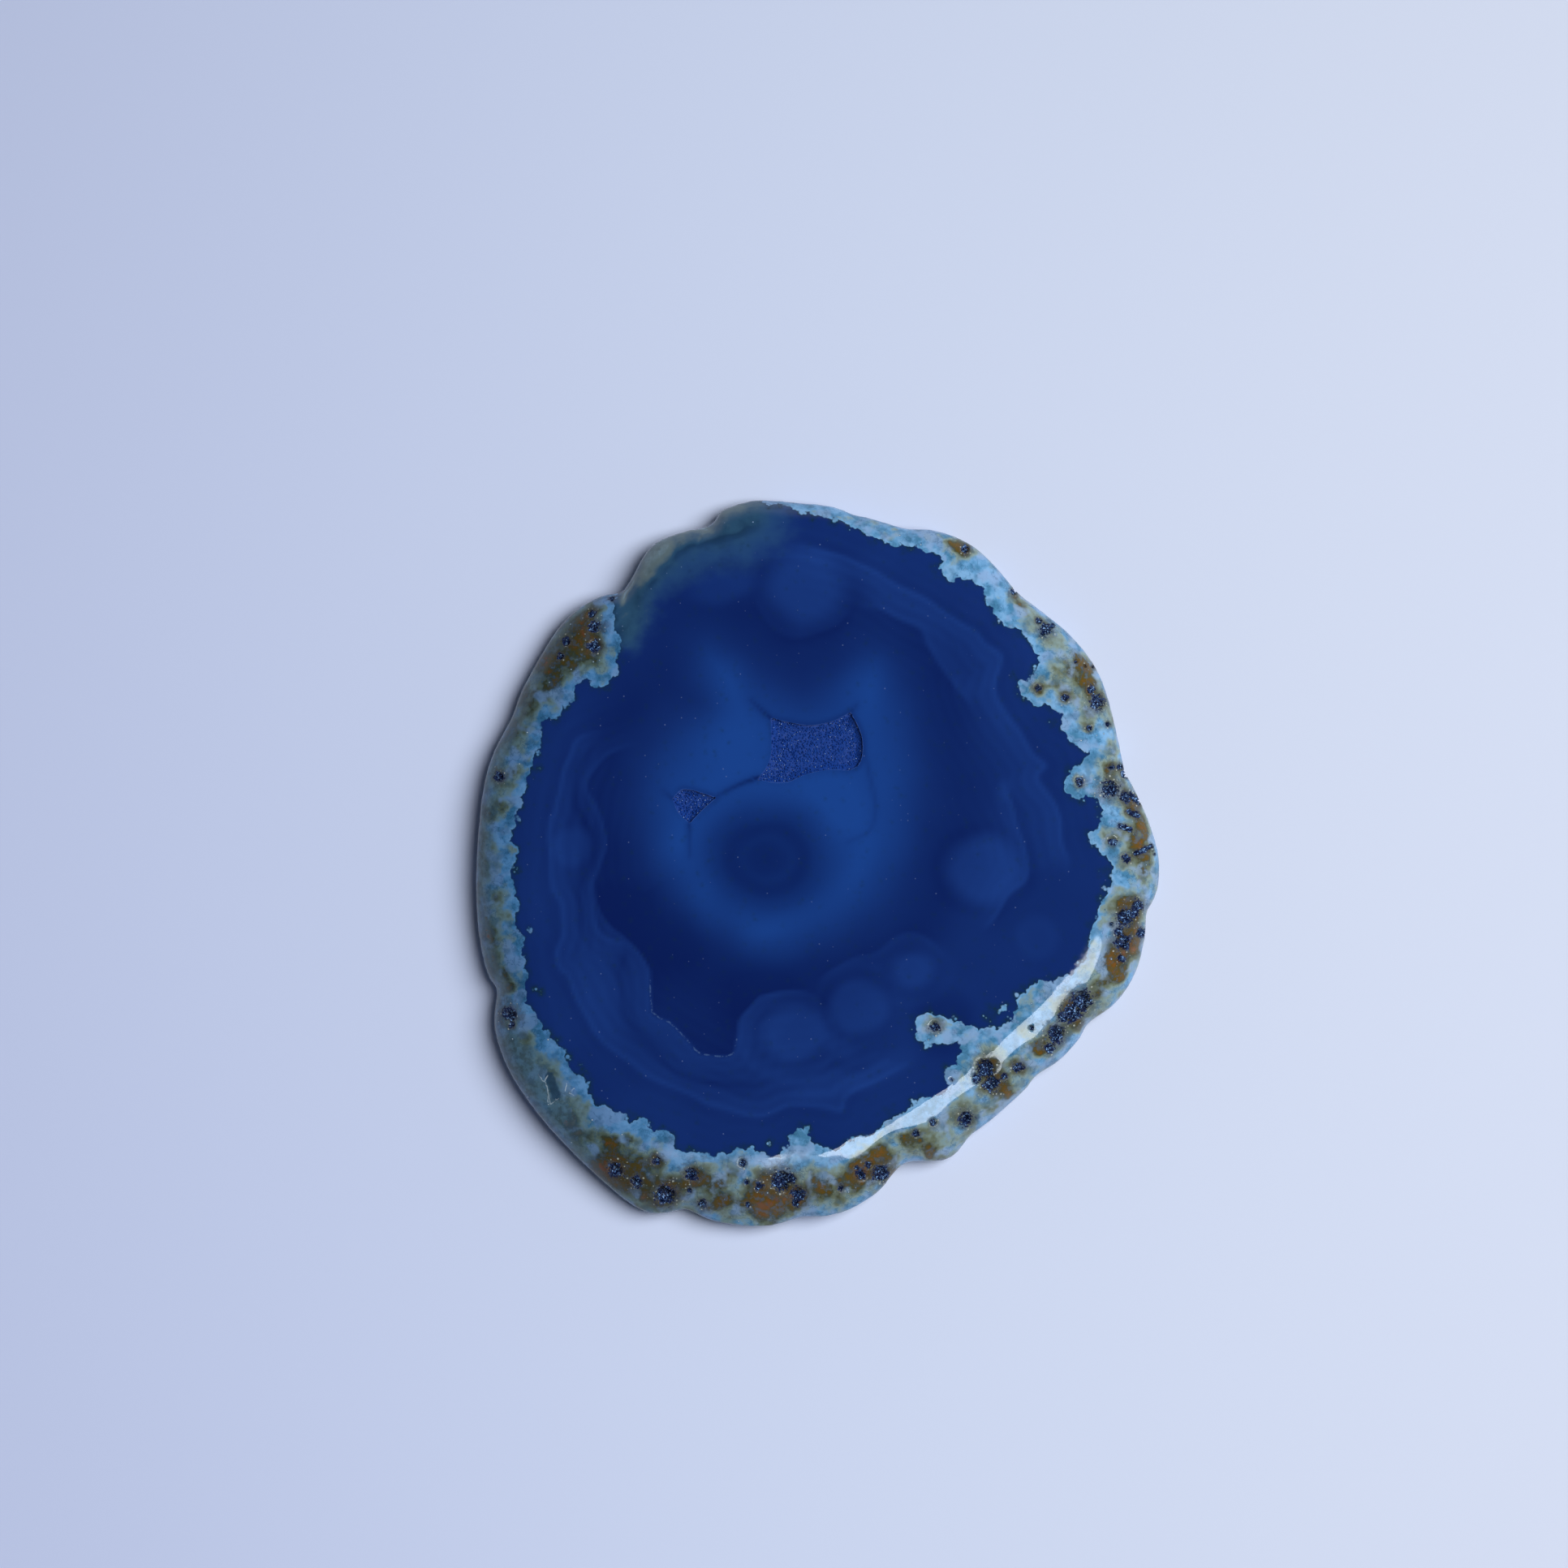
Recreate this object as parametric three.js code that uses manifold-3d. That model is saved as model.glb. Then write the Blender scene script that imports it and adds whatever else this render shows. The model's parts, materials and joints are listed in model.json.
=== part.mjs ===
// A polished slice of a dyed agate nodule, lying flat.
// Millimetres, +Z up. The origin is the middle of the slice's footprint, on the surface it lies on.
import * as THREE from "three";
import { mergeVertices } from "three/addons/utils/BufferGeometryUtils.js";
import Module from "manifold-3d";

const wasm = await Module();
wasm.setup();

// Driving dimensions
const thickness = 6.5;
const waistHeight = 2.6; // where the slice is widest
const waistWander = 0.45; // how far that line strays up and down round the slice
const waistWaves = 7; // how many times it does so
const shoulderInset = 6.4; // from the widest line in to the flat polished face
const shoulderStart = 9; // degrees that the rounded shoulder falls at, where it leaves the face
const footInset = 2.4; // from the widest line in to the flat underside
const outlineSteps = 180;
const shoulderRings = 6;
const footRings = 3;
const lobeFade = 9; // the shoulder's inner line follows the outline averaged over this length each way

// Hollows where the growth fronts never met, each with its crust of quartz points
const hollowDepth = 2.1;
const crustGap = 0.3; // between a crust and the stone round it
const crustBase = 0.35; // crust under its crystals
const mouthSteps = 40;
const cutSpare = 1; // how far a cutting shape runs past the face it cuts

// Small cavities in the rind
const pitDepthShare = 0.95; // of the pit's radius
const pitFlatness = 0.75; // a pit's height over its width
const pitUnevenness = 0.35; // how much the wall of a pit varies, as a share of its radius
const pitSeed = 5;

// The crystals of a crust
const crystalSeed = 11;
const crystalSides = 6;
const crystalWidth = [0.5, 0.75]; // radius, least and greatest, as a share of the spacing
const crystalHeight = [0.75, 1.35]; // above the bed, the same way
const crystalLean = 0.17; // radians, at most
const crystalRoot = 0.2; // how deep in the bed it starts
const crystalStray = 0.2; // how far a crystal stands off its place in the rows
const rowShare = 0.87; // rows lie this share of the spacing apart, so that the crystals nest

// The skin is a row of lobes. Each runs clockwise, seen from above, from one notch to the next.
const lobes = [
  [[-12.8, 42.3], [-12.3, 43.5], [-9, 44.8], [-6.4, 45], [-0.4, 44.5], [2.3, 44.1], [3.9, 43.3]],
  [[3.9, 43.3], [6.9, 42.6], [11.1, 41.3]],
  [[11.1, 41.3], [13.4, 41.4], [16.4, 40.7], [19.2, 39.3], [21.8, 37], [24.8, 33.4]],
  [[24.8, 33.4], [28.3, 30.8], [31.4, 28.2], [34.1, 24.8], [35.6, 21.6], [37, 16.2], [38.1, 10.8]],
  [[38.1, 10.8], [38.9, 9.8], [41.1, 4.9], [42.3, 0.6], [42.1, -3.4], [40.6, -6.3]],
  [[40.6, -6.3], [40.6, -9], [39.3, -13.8], [36.7, -17.5], [33.3, -19.8]],
  [[33.3, -19.8], [32.7, -21.3], [30, -24.4], [27, -26.2]],
  [[27, -26.2], [25.8, -27.9], [21.8, -31.6], [18.4, -34.1]],
  [[18.4, -34.1], [17.6, -35.6], [15.6, -36.9], [11.3, -36.9]],
  [[11.3, -36.9], [9.6, -38.1], [7.6, -40.6], [4, -42.9], [0.6, -43.8], [-2.4, -43.7]],
  [[-2.4, -43.7], [-4.4, -44.6], [-8, -45], [-12.8, -44.4], [-16.3, -42.8]],
  [[-16.3, -42.8], [-20.4, -43.5], [-24, -41.7], [-29.4, -36.9]],
  [[-29.4, -36.9], [-34.3, -31.6], [-38.2, -25.9], [-40.1, -20.5], [-39.7, -15.3]],
  [[-39.7, -15.3], [-40.9, -14], [-42, -9.3], [-42.4, -2.5], [-41.9, 6], [-41.1, 11], [-39.9, 14.5]],
  [[-39.9, 14.5], [-37.9, 18.2], [-36.7, 21.5], [-33, 28], [-30.2, 31.2], [-26.9, 33.1], [-24.3, 33.5]],
  [[-24.3, 33.5], [-23, 35.4], [-21.9, 37.6], [-20, 39.8], [-16, 41.3]],
  [[-16, 41.3], [-14.3, 41.5], [-12.8, 42.3]],
];

// Hollows seen from above. The sides between the corners bow inwards, where growth fronts bulge.
const hollows = [
  {
    name: "large_hollow_crystals",
    sides: [
      [[-5.8, 17.9], [-3.2, 17.3], [-0.8, 17], [1.8, 17.5], [4, 18.6]],
      [[4, 18.6], [5.2, 16.2], [5.5, 14], [5, 12.2], [3.7, 11.5]],
      [[3.7, 11.5], [1.2, 11.6], [-1.6, 11], [-3.6, 10.1], [-5.4, 10], [-7.4, 10.4]],
      [[-7.4, 10.4], [-6.3, 11.9], [-5.7, 13.9], [-5.8, 17.9]],
    ],
    crystalSpacing: 0.95,
  },
  {
    name: "small_hollow_crystals",
    sides: [
      [[-17.9, 8], [-16.8, 9.1], [-15.4, 9]],
      [[-15.4, 9], [-13.8, 8.5], [-12.6, 8.1]],
      [[-12.6, 8.1], [-14.2, 6.7], [-15.8, 5]],
      [[-15.8, 5], [-17.2, 6.3], [-17.9, 8]],
    ],
    crystalSpacing: 0.9,
  },
];

// The larger cavities of the rind, as x, y and radius
const pits = [
  [-18.9, -40.9, 1.3],
  [-25, -37.8, 0.95],
  [-22.4, -39.3, 0.75],
  [-15.6, -38.3, 0.8],
  [-4.5, -39.1, 1.25],
  [-2.5, -40.8, 0.9],
  [5.3, -38.4, 0.75],
  [7.7, -38.3, 1.1],
  [18.2, -31.5, 0.95],
  [20.6, -25.3, 1.1],
  [21.3, -27.1, 1],
  [29.3, -21, 1.1],
  [31.3, -18.4, 1.2],
  [32.5, -17, 1.3],
  [37.9, -6.6, 1.1],
  [39.4, -5.3, 0.8],
  [37.6, -9.7, 1],
  [36.1, 9.2, 1.1],
  [38, 8.2, 0.8],
  [34.5, 19.9, 0.9],
  [28.1, 28.9, 0.8],
  [-27.6, 26.8, 0.8],
  [-27.6, 29.2, 0.8],
  [-38, -18.6, 0.9],
];

// The same spread of values on every run
function makeRandom(seed) {
  let state = seed;
  return () => {
    state = (state * 16807) % 2147483647;
    return state / 2147483647;
  };
}

const radians = THREE.MathUtils.degToRad;
const toVector = ([x, y]) => new THREE.Vector2(x, y);

// One closed path through rows of points, with a corner where each row ends
function cornerPath(rows) {
  const shape = new THREE.Shape();
  shape.moveTo(...rows[0][0]);
  for (const row of rows) shape.splineThru(row.slice(1).map(toVector));
  return shape;
}

// Points spaced evenly round a path, turning anticlockwise
function evenPoints(path, count) {
  const points = path.getSpacedPoints(count).slice(0, count);
  return THREE.ShapeUtils.isClockWise(points) ? points.reverse() : points;
}

// The outline with its lobes averaged away
function smoothed(points, length) {
  const count = points.length;
  const step = points[0].distanceTo(points[1]);
  const reach = Math.round(length / step);
  return points.map((_, i) => {
    const sum = new THREE.Vector2();
    for (let j = -reach; j <= reach; j++) sum.add(points[(i + j + count) % count]);
    return sum.divideScalar(2 * reach + 1);
  });
}

// The direction out of the outline at each of its points
function outwards(points) {
  const count = points.length;
  return points.map((_, i) => {
    const along = points[(i + 1) % count].clone().sub(points[(i + count - 1) % count]);
    return new THREE.Vector2(along.y, -along.x).normalize();
  });
}

// The outline moved in by a distance, less the points that would cross over at a sharp corner
function insetBy(points, distance) {
  const out = outwards(points);
  return points
    .map((p, i) => p.clone().addScaledVector(out[i], -distance))
    .filter((p) => points.every((q) => p.distanceTo(q) > 0.97 * distance));
}

// A closed skin over rings of equal length, lowest first, with flat ends
function skin(rings) {
  const count = rings[0].length;
  const position = rings.flat().flatMap((p) => [p.x, p.y, p.z]);
  const index = [];
  for (let r = 0; r + 1 < rings.length; r++)
    for (let i = 0; i < count; i++) {
      const [a, b] = [r * count + i, r * count + ((i + 1) % count)];
      index.push(a, b, b + count, a, b + count, a + count);
    }
  const cap = (ring) => THREE.ShapeUtils.triangulateShape(ring.map((p) => new THREE.Vector2(p.x, p.y)), []);
  for (const [a, b, c] of cap(rings[0])) index.push(a, c, b);
  const top = (rings.length - 1) * count;
  for (const [a, b, c] of cap(rings.at(-1))) index.push(top + a, top + b, top + c);
  return new THREE.BufferGeometry()
    .setAttribute("position", new THREE.Float32BufferAttribute(position, 3))
    .setIndex(index);
}

// A geometry whose faces share their vertices, made so before it is turned or moved
function welded(geometry) {
  geometry.deleteAttribute("normal");
  geometry.deleteAttribute("uv");
  return mergeVertices(geometry, 1e-4);
}

// A welded geometry as a solid that can be joined and cut, and back
function solidOf(geometry) {
  return new wasm.Manifold(
    new wasm.Mesh({
      numProp: 3,
      vertProperties: geometry.attributes.position.array,
      triVerts: new Uint32Array(geometry.index.array),
    }),
  );
}

function geometryOf(solid) {
  const mesh = solid.getMesh();
  const geometry = new THREE.BufferGeometry()
    .setAttribute("position", new THREE.BufferAttribute(mesh.vertProperties, 3))
    .setIndex(new THREE.BufferAttribute(mesh.triVerts, 1))
    .toNonIndexed();
  geometry.computeVertexNormals();
  return geometry;
}

// The blank: a plate with a broad rounded shoulder above its widest line and a tighter foot below
function blankGeometry() {
  const outline = evenPoints(cornerPath(lobes), outlineSteps);
  const calm = smoothed(outline, lobeFade);
  const out = outwards(calm);
  const waistAt = (i) => waistHeight + waistWander * Math.sin((waistWaves * i * 2 * Math.PI) / outlineSteps);
  // share is 0 at the widest line and 1 at the inner end of the shoulder or foot
  const ring = (share, inset, heightAt) =>
    outline.map((p, i) => {
      const inner = calm[i].clone().addScaledVector(out[i], -inset);
      const at = p.clone().lerp(inner, share);
      return new THREE.Vector3(at.x, at.y, heightAt(waistAt(i)));
    });

  const rings = [];
  for (let k = 0; k < footRings; k++) {
    const turn = radians((90 * k) / footRings);
    rings.push(ring(1 - Math.sin(turn), footInset, (waist) => waist * (1 - Math.cos(turn))));
  }
  const first = radians(shoulderStart);
  for (let k = 0; k <= shoulderRings; k++) {
    const turn = THREE.MathUtils.lerp(Math.PI / 2, first, k / shoulderRings);
    const share = (1 - Math.sin(turn)) / (1 - Math.sin(first));
    const rise = Math.cos(turn) / Math.cos(first);
    rings.push(ring(share, shoulderInset, (waist) => waist + (thickness - waist) * rise));
  }
  return skin(rings);
}

// A straight-sided block over an outline, from one height to another
function block(points, low, high) {
  const extruded = new THREE.ExtrudeGeometry(new THREE.Shape(points), {
    depth: high - low,
    bevelEnabled: false,
  });
  return welded(extruded).translate(0, 0, low);
}

// Where the slice's surface lies at a place, found by looking down on it
function surfaceHeight(mesh, x, y) {
  const down = new THREE.Vector3(0, 0, -1);
  const hits = new THREE.Raycaster(new THREE.Vector3(x, y, 2 * thickness), down).intersectObject(mesh);
  return hits[0].point.z;
}

// An uneven ball sunk into the surface, which leaves a pit where it is cut away
function pitGeometry(mesh, [x, y, radius], random) {
  const height = surfaceHeight(mesh, x, y);
  const ball = welded(new THREE.IcosahedronGeometry(radius, 1));
  const at = ball.attributes.position;
  for (let i = 0; i < at.count; i++) {
    const swell = 1 + pitUnevenness * (random() - 0.5);
    at.setXYZ(i, swell * at.getX(i), swell * at.getY(i), swell * at.getZ(i));
  }
  return ball.scale(1, 1, pitFlatness).translate(x, y, height + radius * (pitFlatness - pitDepthShare));
}

function makeSlice() {
  const blank = blankGeometry();
  const mesh = new THREE.Mesh(blank, new THREE.MeshBasicMaterial({ side: THREE.DoubleSide }));
  let stone = solidOf(blank);
  for (const { sides } of hollows) {
    const mouth = evenPoints(cornerPath(sides), mouthSteps);
    stone = stone.subtract(solidOf(block(mouth, thickness - hollowDepth, thickness + cutSpare)));
  }
  const random = makeRandom(pitSeed);
  for (const pit of pits) stone = stone.subtract(solidOf(pitGeometry(mesh, pit, random)));
  return geometryOf(stone);
}

// One quartz point, rooted in the bed below it
function crystalGeometry(spacing, random) {
  const between = ([least, most]) => spacing * THREE.MathUtils.lerp(least, most, random());
  const radius = between(crystalWidth);
  const height = between(crystalHeight) + crystalRoot;
  return welded(new THREE.ConeGeometry(radius, height, crystalSides, 1))
    .rotateX(Math.PI / 2)
    .rotateZ(random() * Math.PI)
    .translate(0, 0, height / 2 - crystalRoot)
    .rotateX(crystalLean * (2 * random() - 1))
    .rotateY(crystalLean * (2 * random() - 1));
}

// Quartz points standing in a thin bed, trimmed to the hollow
function makeCrust({ sides, crystalSpacing }, seed) {
  const random = makeRandom(seed);
  const floor = thickness - hollowDepth + crustGap;
  const bedTop = floor + crustBase;
  const finer = 6; // a close run of points keeps the gap even at the corners, and is thinned after
  const edge = insetBy(evenPoints(cornerPath(sides), finer * mouthSteps), crustGap).filter(
    (_, i) => i % finer === 0,
  );
  const box = new THREE.Box2().setFromPoints(edge);
  const trim = solidOf(block(edge, floor, thickness));
  let crust = solidOf(block(edge, floor, bedTop));
  let rowStart = box.min.x;
  for (let y = box.min.y; y <= box.max.y; y += crystalSpacing * rowShare) {
    rowStart = box.min.x + crystalSpacing / 2 - (rowStart - box.min.x);
    for (let x = rowStart; x <= box.max.x; x += crystalSpacing) {
      const crystal = crystalGeometry(crystalSpacing, random).translate(
        x + crystalStray * random(),
        y + crystalStray * random(),
        bedTop,
      );
      crust = crust.add(solidOf(crystal).intersect(trim));
    }
  }
  return geometryOf(crust);
}

const agate = new THREE.MeshStandardMaterial({ color: 0x123a7c, roughness: 0.12, metalness: 0 });
const quartz = new THREE.MeshStandardMaterial({
  color: 0x24479a,
  roughness: 0.25,
  metalness: 0,
  flatShading: true,
});

function named(name, geometry, material) {
  const mesh = new THREE.Mesh(geometry, material);
  mesh.name = name;
  return mesh;
}

const agateSlice = new THREE.Group();
agateSlice.add(named("slice", makeSlice(), agate));
hollows.forEach((hollow, i) => {
  agateSlice.add(named(hollow.name, makeCrust(hollow, crystalSeed + i), quartz));
});

export default agateSlice;
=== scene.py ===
# A polished slice of blue dyed agate: growth bands, two crystal-lined hollows and a mottled rind.
# Places on the stone are in millimetres, as in the model; meshes are in metres.
import json
import math

import bpy
import numpy as np
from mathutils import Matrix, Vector, noise

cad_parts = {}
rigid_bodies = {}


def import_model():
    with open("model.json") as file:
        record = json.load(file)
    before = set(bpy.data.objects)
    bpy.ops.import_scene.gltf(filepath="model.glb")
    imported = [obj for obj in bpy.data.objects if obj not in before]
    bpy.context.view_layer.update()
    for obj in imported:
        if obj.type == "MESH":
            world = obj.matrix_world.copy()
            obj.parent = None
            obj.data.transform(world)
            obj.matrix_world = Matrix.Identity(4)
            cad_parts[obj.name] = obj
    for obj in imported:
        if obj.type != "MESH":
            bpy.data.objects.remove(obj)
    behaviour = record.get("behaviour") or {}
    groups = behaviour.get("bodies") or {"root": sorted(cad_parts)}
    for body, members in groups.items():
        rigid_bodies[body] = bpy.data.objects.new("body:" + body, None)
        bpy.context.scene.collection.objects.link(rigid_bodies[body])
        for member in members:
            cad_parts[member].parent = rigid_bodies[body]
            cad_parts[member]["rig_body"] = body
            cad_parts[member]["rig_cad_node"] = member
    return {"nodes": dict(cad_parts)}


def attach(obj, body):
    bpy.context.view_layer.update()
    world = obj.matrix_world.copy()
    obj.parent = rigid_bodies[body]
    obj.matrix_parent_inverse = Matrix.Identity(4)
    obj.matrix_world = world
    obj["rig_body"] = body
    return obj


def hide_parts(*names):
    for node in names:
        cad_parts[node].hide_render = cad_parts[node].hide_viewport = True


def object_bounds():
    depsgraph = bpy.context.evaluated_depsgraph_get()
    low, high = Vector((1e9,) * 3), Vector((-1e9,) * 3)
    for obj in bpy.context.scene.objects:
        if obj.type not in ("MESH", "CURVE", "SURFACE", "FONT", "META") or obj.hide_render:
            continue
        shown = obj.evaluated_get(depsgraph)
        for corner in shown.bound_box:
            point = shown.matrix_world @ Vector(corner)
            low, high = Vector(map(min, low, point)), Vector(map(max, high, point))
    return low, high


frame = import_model()
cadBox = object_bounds()
mm = 0.001
faceHeight = cadBox[1].z / mm  # the polished face
print("frame loaded, polished face at", round(faceHeight, 2), "mm")


# Helpers for shader nodes; most work in the tree of the socket that they are given
def isSocket(value):
    return isinstance(value, bpy.types.NodeSocket)


def feed(socket, value):  # a link from another socket, or a plain value
    if isSocket(value):
        socket.id_data.links.new(value, socket)
    else:
        socket.default_value = value


def put(tree, kind, inputs=None, **settings):
    node = tree.nodes.new("ShaderNode" + kind)
    for name, value in settings.items():
        setattr(node, name, value)
    for name, value in (inputs or {}).items():
        feed(node.inputs[name], value)
    return node


def treeOf(*values):
    return next(value.id_data for value in values if isSocket(value))


def calc(operation, first, second=0.0, **settings):
    node = put(treeOf(first, second), "Math", {0: first, 1: second}, operation=operation, **settings)
    return node.outputs[0]


def plus(first, second):
    return calc("ADD", first, second)


def minus(first, second):
    return calc("SUBTRACT", first, second)


def times(first, second):
    return calc("MULTIPLY", first, second)


def larger(first, second):
    return calc("MAXIMUM", first, second)


def vectors(operation, first, second, third=(0, 0, 0)):
    node = put(treeOf(first), "VectorMath", {0: first, 1: second, 2: third}, operation=operation)
    return node.outputs["Value" if operation in ("DOT_PRODUCT", "DISTANCE") else "Vector"]


def rise(value, low, high, bottom=0.0, top=1.0, kind="SMOOTHSTEP"):  # a step, eased, between two values
    inputs = {"Value": value, "From Min": low, "From Max": high, "To Min": bottom, "To Max": top}
    return put(value.id_data, "MapRange", inputs, interpolation_type=kind).outputs["Result"]


def blend(factor, first, second, kind="MIX"):
    node = put(treeOf(factor, first), "Mix", data_type="RGBA", blend_type=kind)
    sockets = {socket.identifier: socket for socket in node.inputs}
    for name, value in (("Factor_Float", factor), ("A_Color", first), ("B_Color", second)):
        feed(sockets[name], (*value, 1) if isinstance(value, tuple) else value)
    return next(socket for socket in node.outputs if socket.identifier == "Result_Color")


def ramp(value, stops, easing):  # colours at stops along a value
    node = put(value.id_data, "ValToRGB", {"Fac": value})
    node.color_ramp.interpolation = easing
    while len(node.color_ramp.elements) < len(stops):
        node.color_ramp.elements.new(0.5)
    for stop, (position, colour) in zip(node.color_ramp.elements, stops):
        stop.position = position
        stop.color = (*colour, 1)
    return node.outputs["Color"]


def cloud(where, size, detail=2.0, rough=0.5):  # noise whose lumps are about so many mm across
    inputs = {"Vector": where, "Scale": 1 / size, "Detail": detail, "Roughness": rough}
    return put(where.id_data, "TexNoise", inputs).outputs["Fac"]


def cells(where, size):
    return put(where.id_data, "TexVoronoi", {"Vector": where, "Scale": 1 / size}).outputs


def uneven(value, *parts):  # roughened by noise, each part with its strength
    for noisy, strength in parts:
        value = plus(value, times(minus(noisy, 0.5), strength))
    return value


def stored(tree, name):
    return put(tree, "Attribute", attribute_name=name).outputs["Fac"]


def millimetres(tree):  # object coordinates in mm
    place = put(tree, "TexCoord").outputs["Object"]
    return put(tree, "Mapping", {"Vector": place, "Scale": (1 / mm, 1 / mm, 1 / mm)}).outputs[0]


def newMaterial(name):
    material = bpy.data.materials.new(name)
    material.use_nodes = True
    tree = material.node_tree
    return material, tree, tree.nodes["Principled BSDF"]


def newGroup(name, inputs, outputs):
    group = bpy.data.node_groups.new(name, "ShaderNodeTree")
    for way, sockets in (("INPUT", inputs), ("OUTPUT", outputs)):
        for label, kind in sockets.items():
            group.interface.new_socket(label, in_out=way, socket_type="NodeSocket" + kind)
    entry, leave = group.nodes.new("NodeGroupInput"), group.nodes.new("NodeGroupOutput")
    return group, entry.outputs, leave.inputs


# Round specks of one size, strewn over a share of the places where one could be
def makeSpecks():
    group, given, out = newGroup(
        "strewnSpecks",
        {"Where": "Vector", "Spacing": "Float", "Size": "Float", "Share": "Float"},
        {"Mask": "Float", "Kind": "Float"},
    )
    scale = calc("DIVIDE", 1.0, given["Spacing"])
    cell = put(group, "TexVoronoi", {"Vector": given["Where"], "Scale": scale}).outputs
    red, green, blue = put(group, "SeparateColor", {"Color": cell["Color"]}).outputs
    reach = plus(times(given["Size"], green), times(given["Size"], 0.35))
    near = minus(reach, times(cell["Distance"], given["Spacing"]))
    spot = rise(near, 0.0, times(given["Size"], 0.5), kind="LINEAR")
    feed(out["Mask"], times(spot, calc("LESS_THAN", red, given["Share"])))
    feed(out["Kind"], blue)
    return group


specks = makeSpecks()


def strew(where, spacing, size, share):
    inputs = {"Where": where, "Spacing": spacing, "Size": size, "Share": share}
    return put(where.id_data, "Group", inputs, node_tree=specks).outputs


# How far it is to a straight line between two places, from above
def makeGap():
    group, given, out = newGroup(
        "gapToLine", {"Where": "Vector", "Start": "Vector", "Step": "Vector"}, {"Gap": "Float"}
    )
    away = vectors("MULTIPLY", vectors("SUBTRACT", given["Where"], given["Start"]), (1, 1, 0))
    along = vectors("DOT_PRODUCT", away, given["Step"])
    whole = vectors("DOT_PRODUCT", given["Step"], given["Step"])
    share = calc("DIVIDE", along, whole, use_clamp=True)
    foot = vectors("MULTIPLY", given["Step"], share)
    feed(out["Gap"], vectors("DISTANCE", away, foot))
    return group


gapToLine = makeGap()


def gapToLines(where, lines):  # to the nearest of several lines
    nearestGap = None
    for (startX, startY), (endX, endY) in lines:
        inputs = {"Where": where, "Start": (startX, startY, 0), "Step": (endX - startX, endY - startY, 0)}
        gap = put(where.id_data, "Group", inputs, node_tree=gapToLine).outputs["Gap"]
        nearestGap = calc("MINIMUM", nearestGap, gap) if nearestGap else gap
    return nearestGap


# View, light and floor
studio = {
    "pictureMiddle": (-4.2, 9.8),
    "pictureWidth": 193.2,  # across the picture, at the stone
    "lens": 150,
    "sensor": 36,
    "stoneMiddle": (0, 0, 5),
    "lamps": [
        # azimuth, elevation and turn about its own axis in degrees, distance, width and height in metres,
        # brightness, tint
        ("keyLamp", 17, 59, 0, 0.75, 0.46, 0.72, 8.6, (0.98, 0.98, 1.02)),
        ("softbox", -50.5, 69, -25, 0.90, 0.41, 0.25, 8.0, (0.85, 0.92, 1.0)),
    ],
    # the sky's colour near the horizon and overhead, by the sine of the elevation
    "skyColours": [(0.10, (0.46, 0.50, 0.62)), (0.50, (0.020, 0.022, 0.032))],
    "floorSize": 6.0,
    "floorDrop": 0.00002,  # under the stone, so that the two faces don't meet
    "floorRoughness": 0.9,
    "floorSpecular": 0.1,
    # the card's colour from left to right, as shares of the way across the picture, with painted light in it:
    # bluer at the left and warmer at the right, as the lamps' light falls across it
    "floorColoursWithPaintedLight": [
        (0.0, (0.602, 0.679, 0.910)), (0.5, (0.651, 0.734, 0.898)), (1.0, (0.640, 0.694, 0.803)),
    ],
    "floorShade": (0.884, 0.884, 0.878),  # and what it is multiplied by at the top of the picture
}


def selectOnly(piece):
    bpy.ops.object.select_all(action="DESELECT")
    piece.select_set(True)
    bpy.context.view_layer.objects.active = piece


def makeCamera():
    distance = studio["pictureWidth"] * studio["lens"] / studio["sensor"]
    x, y = studio["pictureMiddle"]
    place = (x * mm, y * mm, (distance + faceHeight) * mm)
    bpy.ops.object.camera_add(location=place, rotation=(0, 0, 0))
    camera = bpy.context.active_object
    camera.data.lens = studio["lens"]
    camera.data.sensor_width = studio["sensor"]
    camera.data.clip_start = 0.01
    bpy.context.scene.camera = camera


def makeLamp(name, azimuth, elevation, roll, distance, width, height, brightness, tint):
    turn, lift = math.radians(azimuth), math.radians(elevation)
    away = Vector((math.cos(turn) * math.cos(lift), math.sin(turn) * math.cos(lift), math.sin(lift)))
    facing = away.to_track_quat("Z", "Y").to_euler()
    middle = Vector(studio["stoneMiddle"]) * mm
    bpy.ops.object.light_add(type="AREA", location=middle + distance * away, rotation=facing)
    lamp = bpy.context.active_object
    lamp.name = name
    lamp.rotation_euler.rotate_axis("Z", math.radians(roll))
    lamp.data.shape = "ELLIPSE"
    lamp.data.size = width
    lamp.data.size_y = height
    lamp.data.energy = brightness * width * height * math.pi**2 / 4
    lamp.data.color = tint
    return lamp


def makeSky():
    world = bpy.data.worlds.new("studioSky")
    bpy.context.scene.world = world
    world.use_nodes = True
    tree = world.node_tree
    up = put(tree, "SeparateXYZ", {0: put(tree, "TexCoord").outputs["Generated"]}).outputs["Z"]
    feed(tree.nodes["Background"].inputs["Color"], ramp(up, studio["skyColours"], "EASE"))


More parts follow.
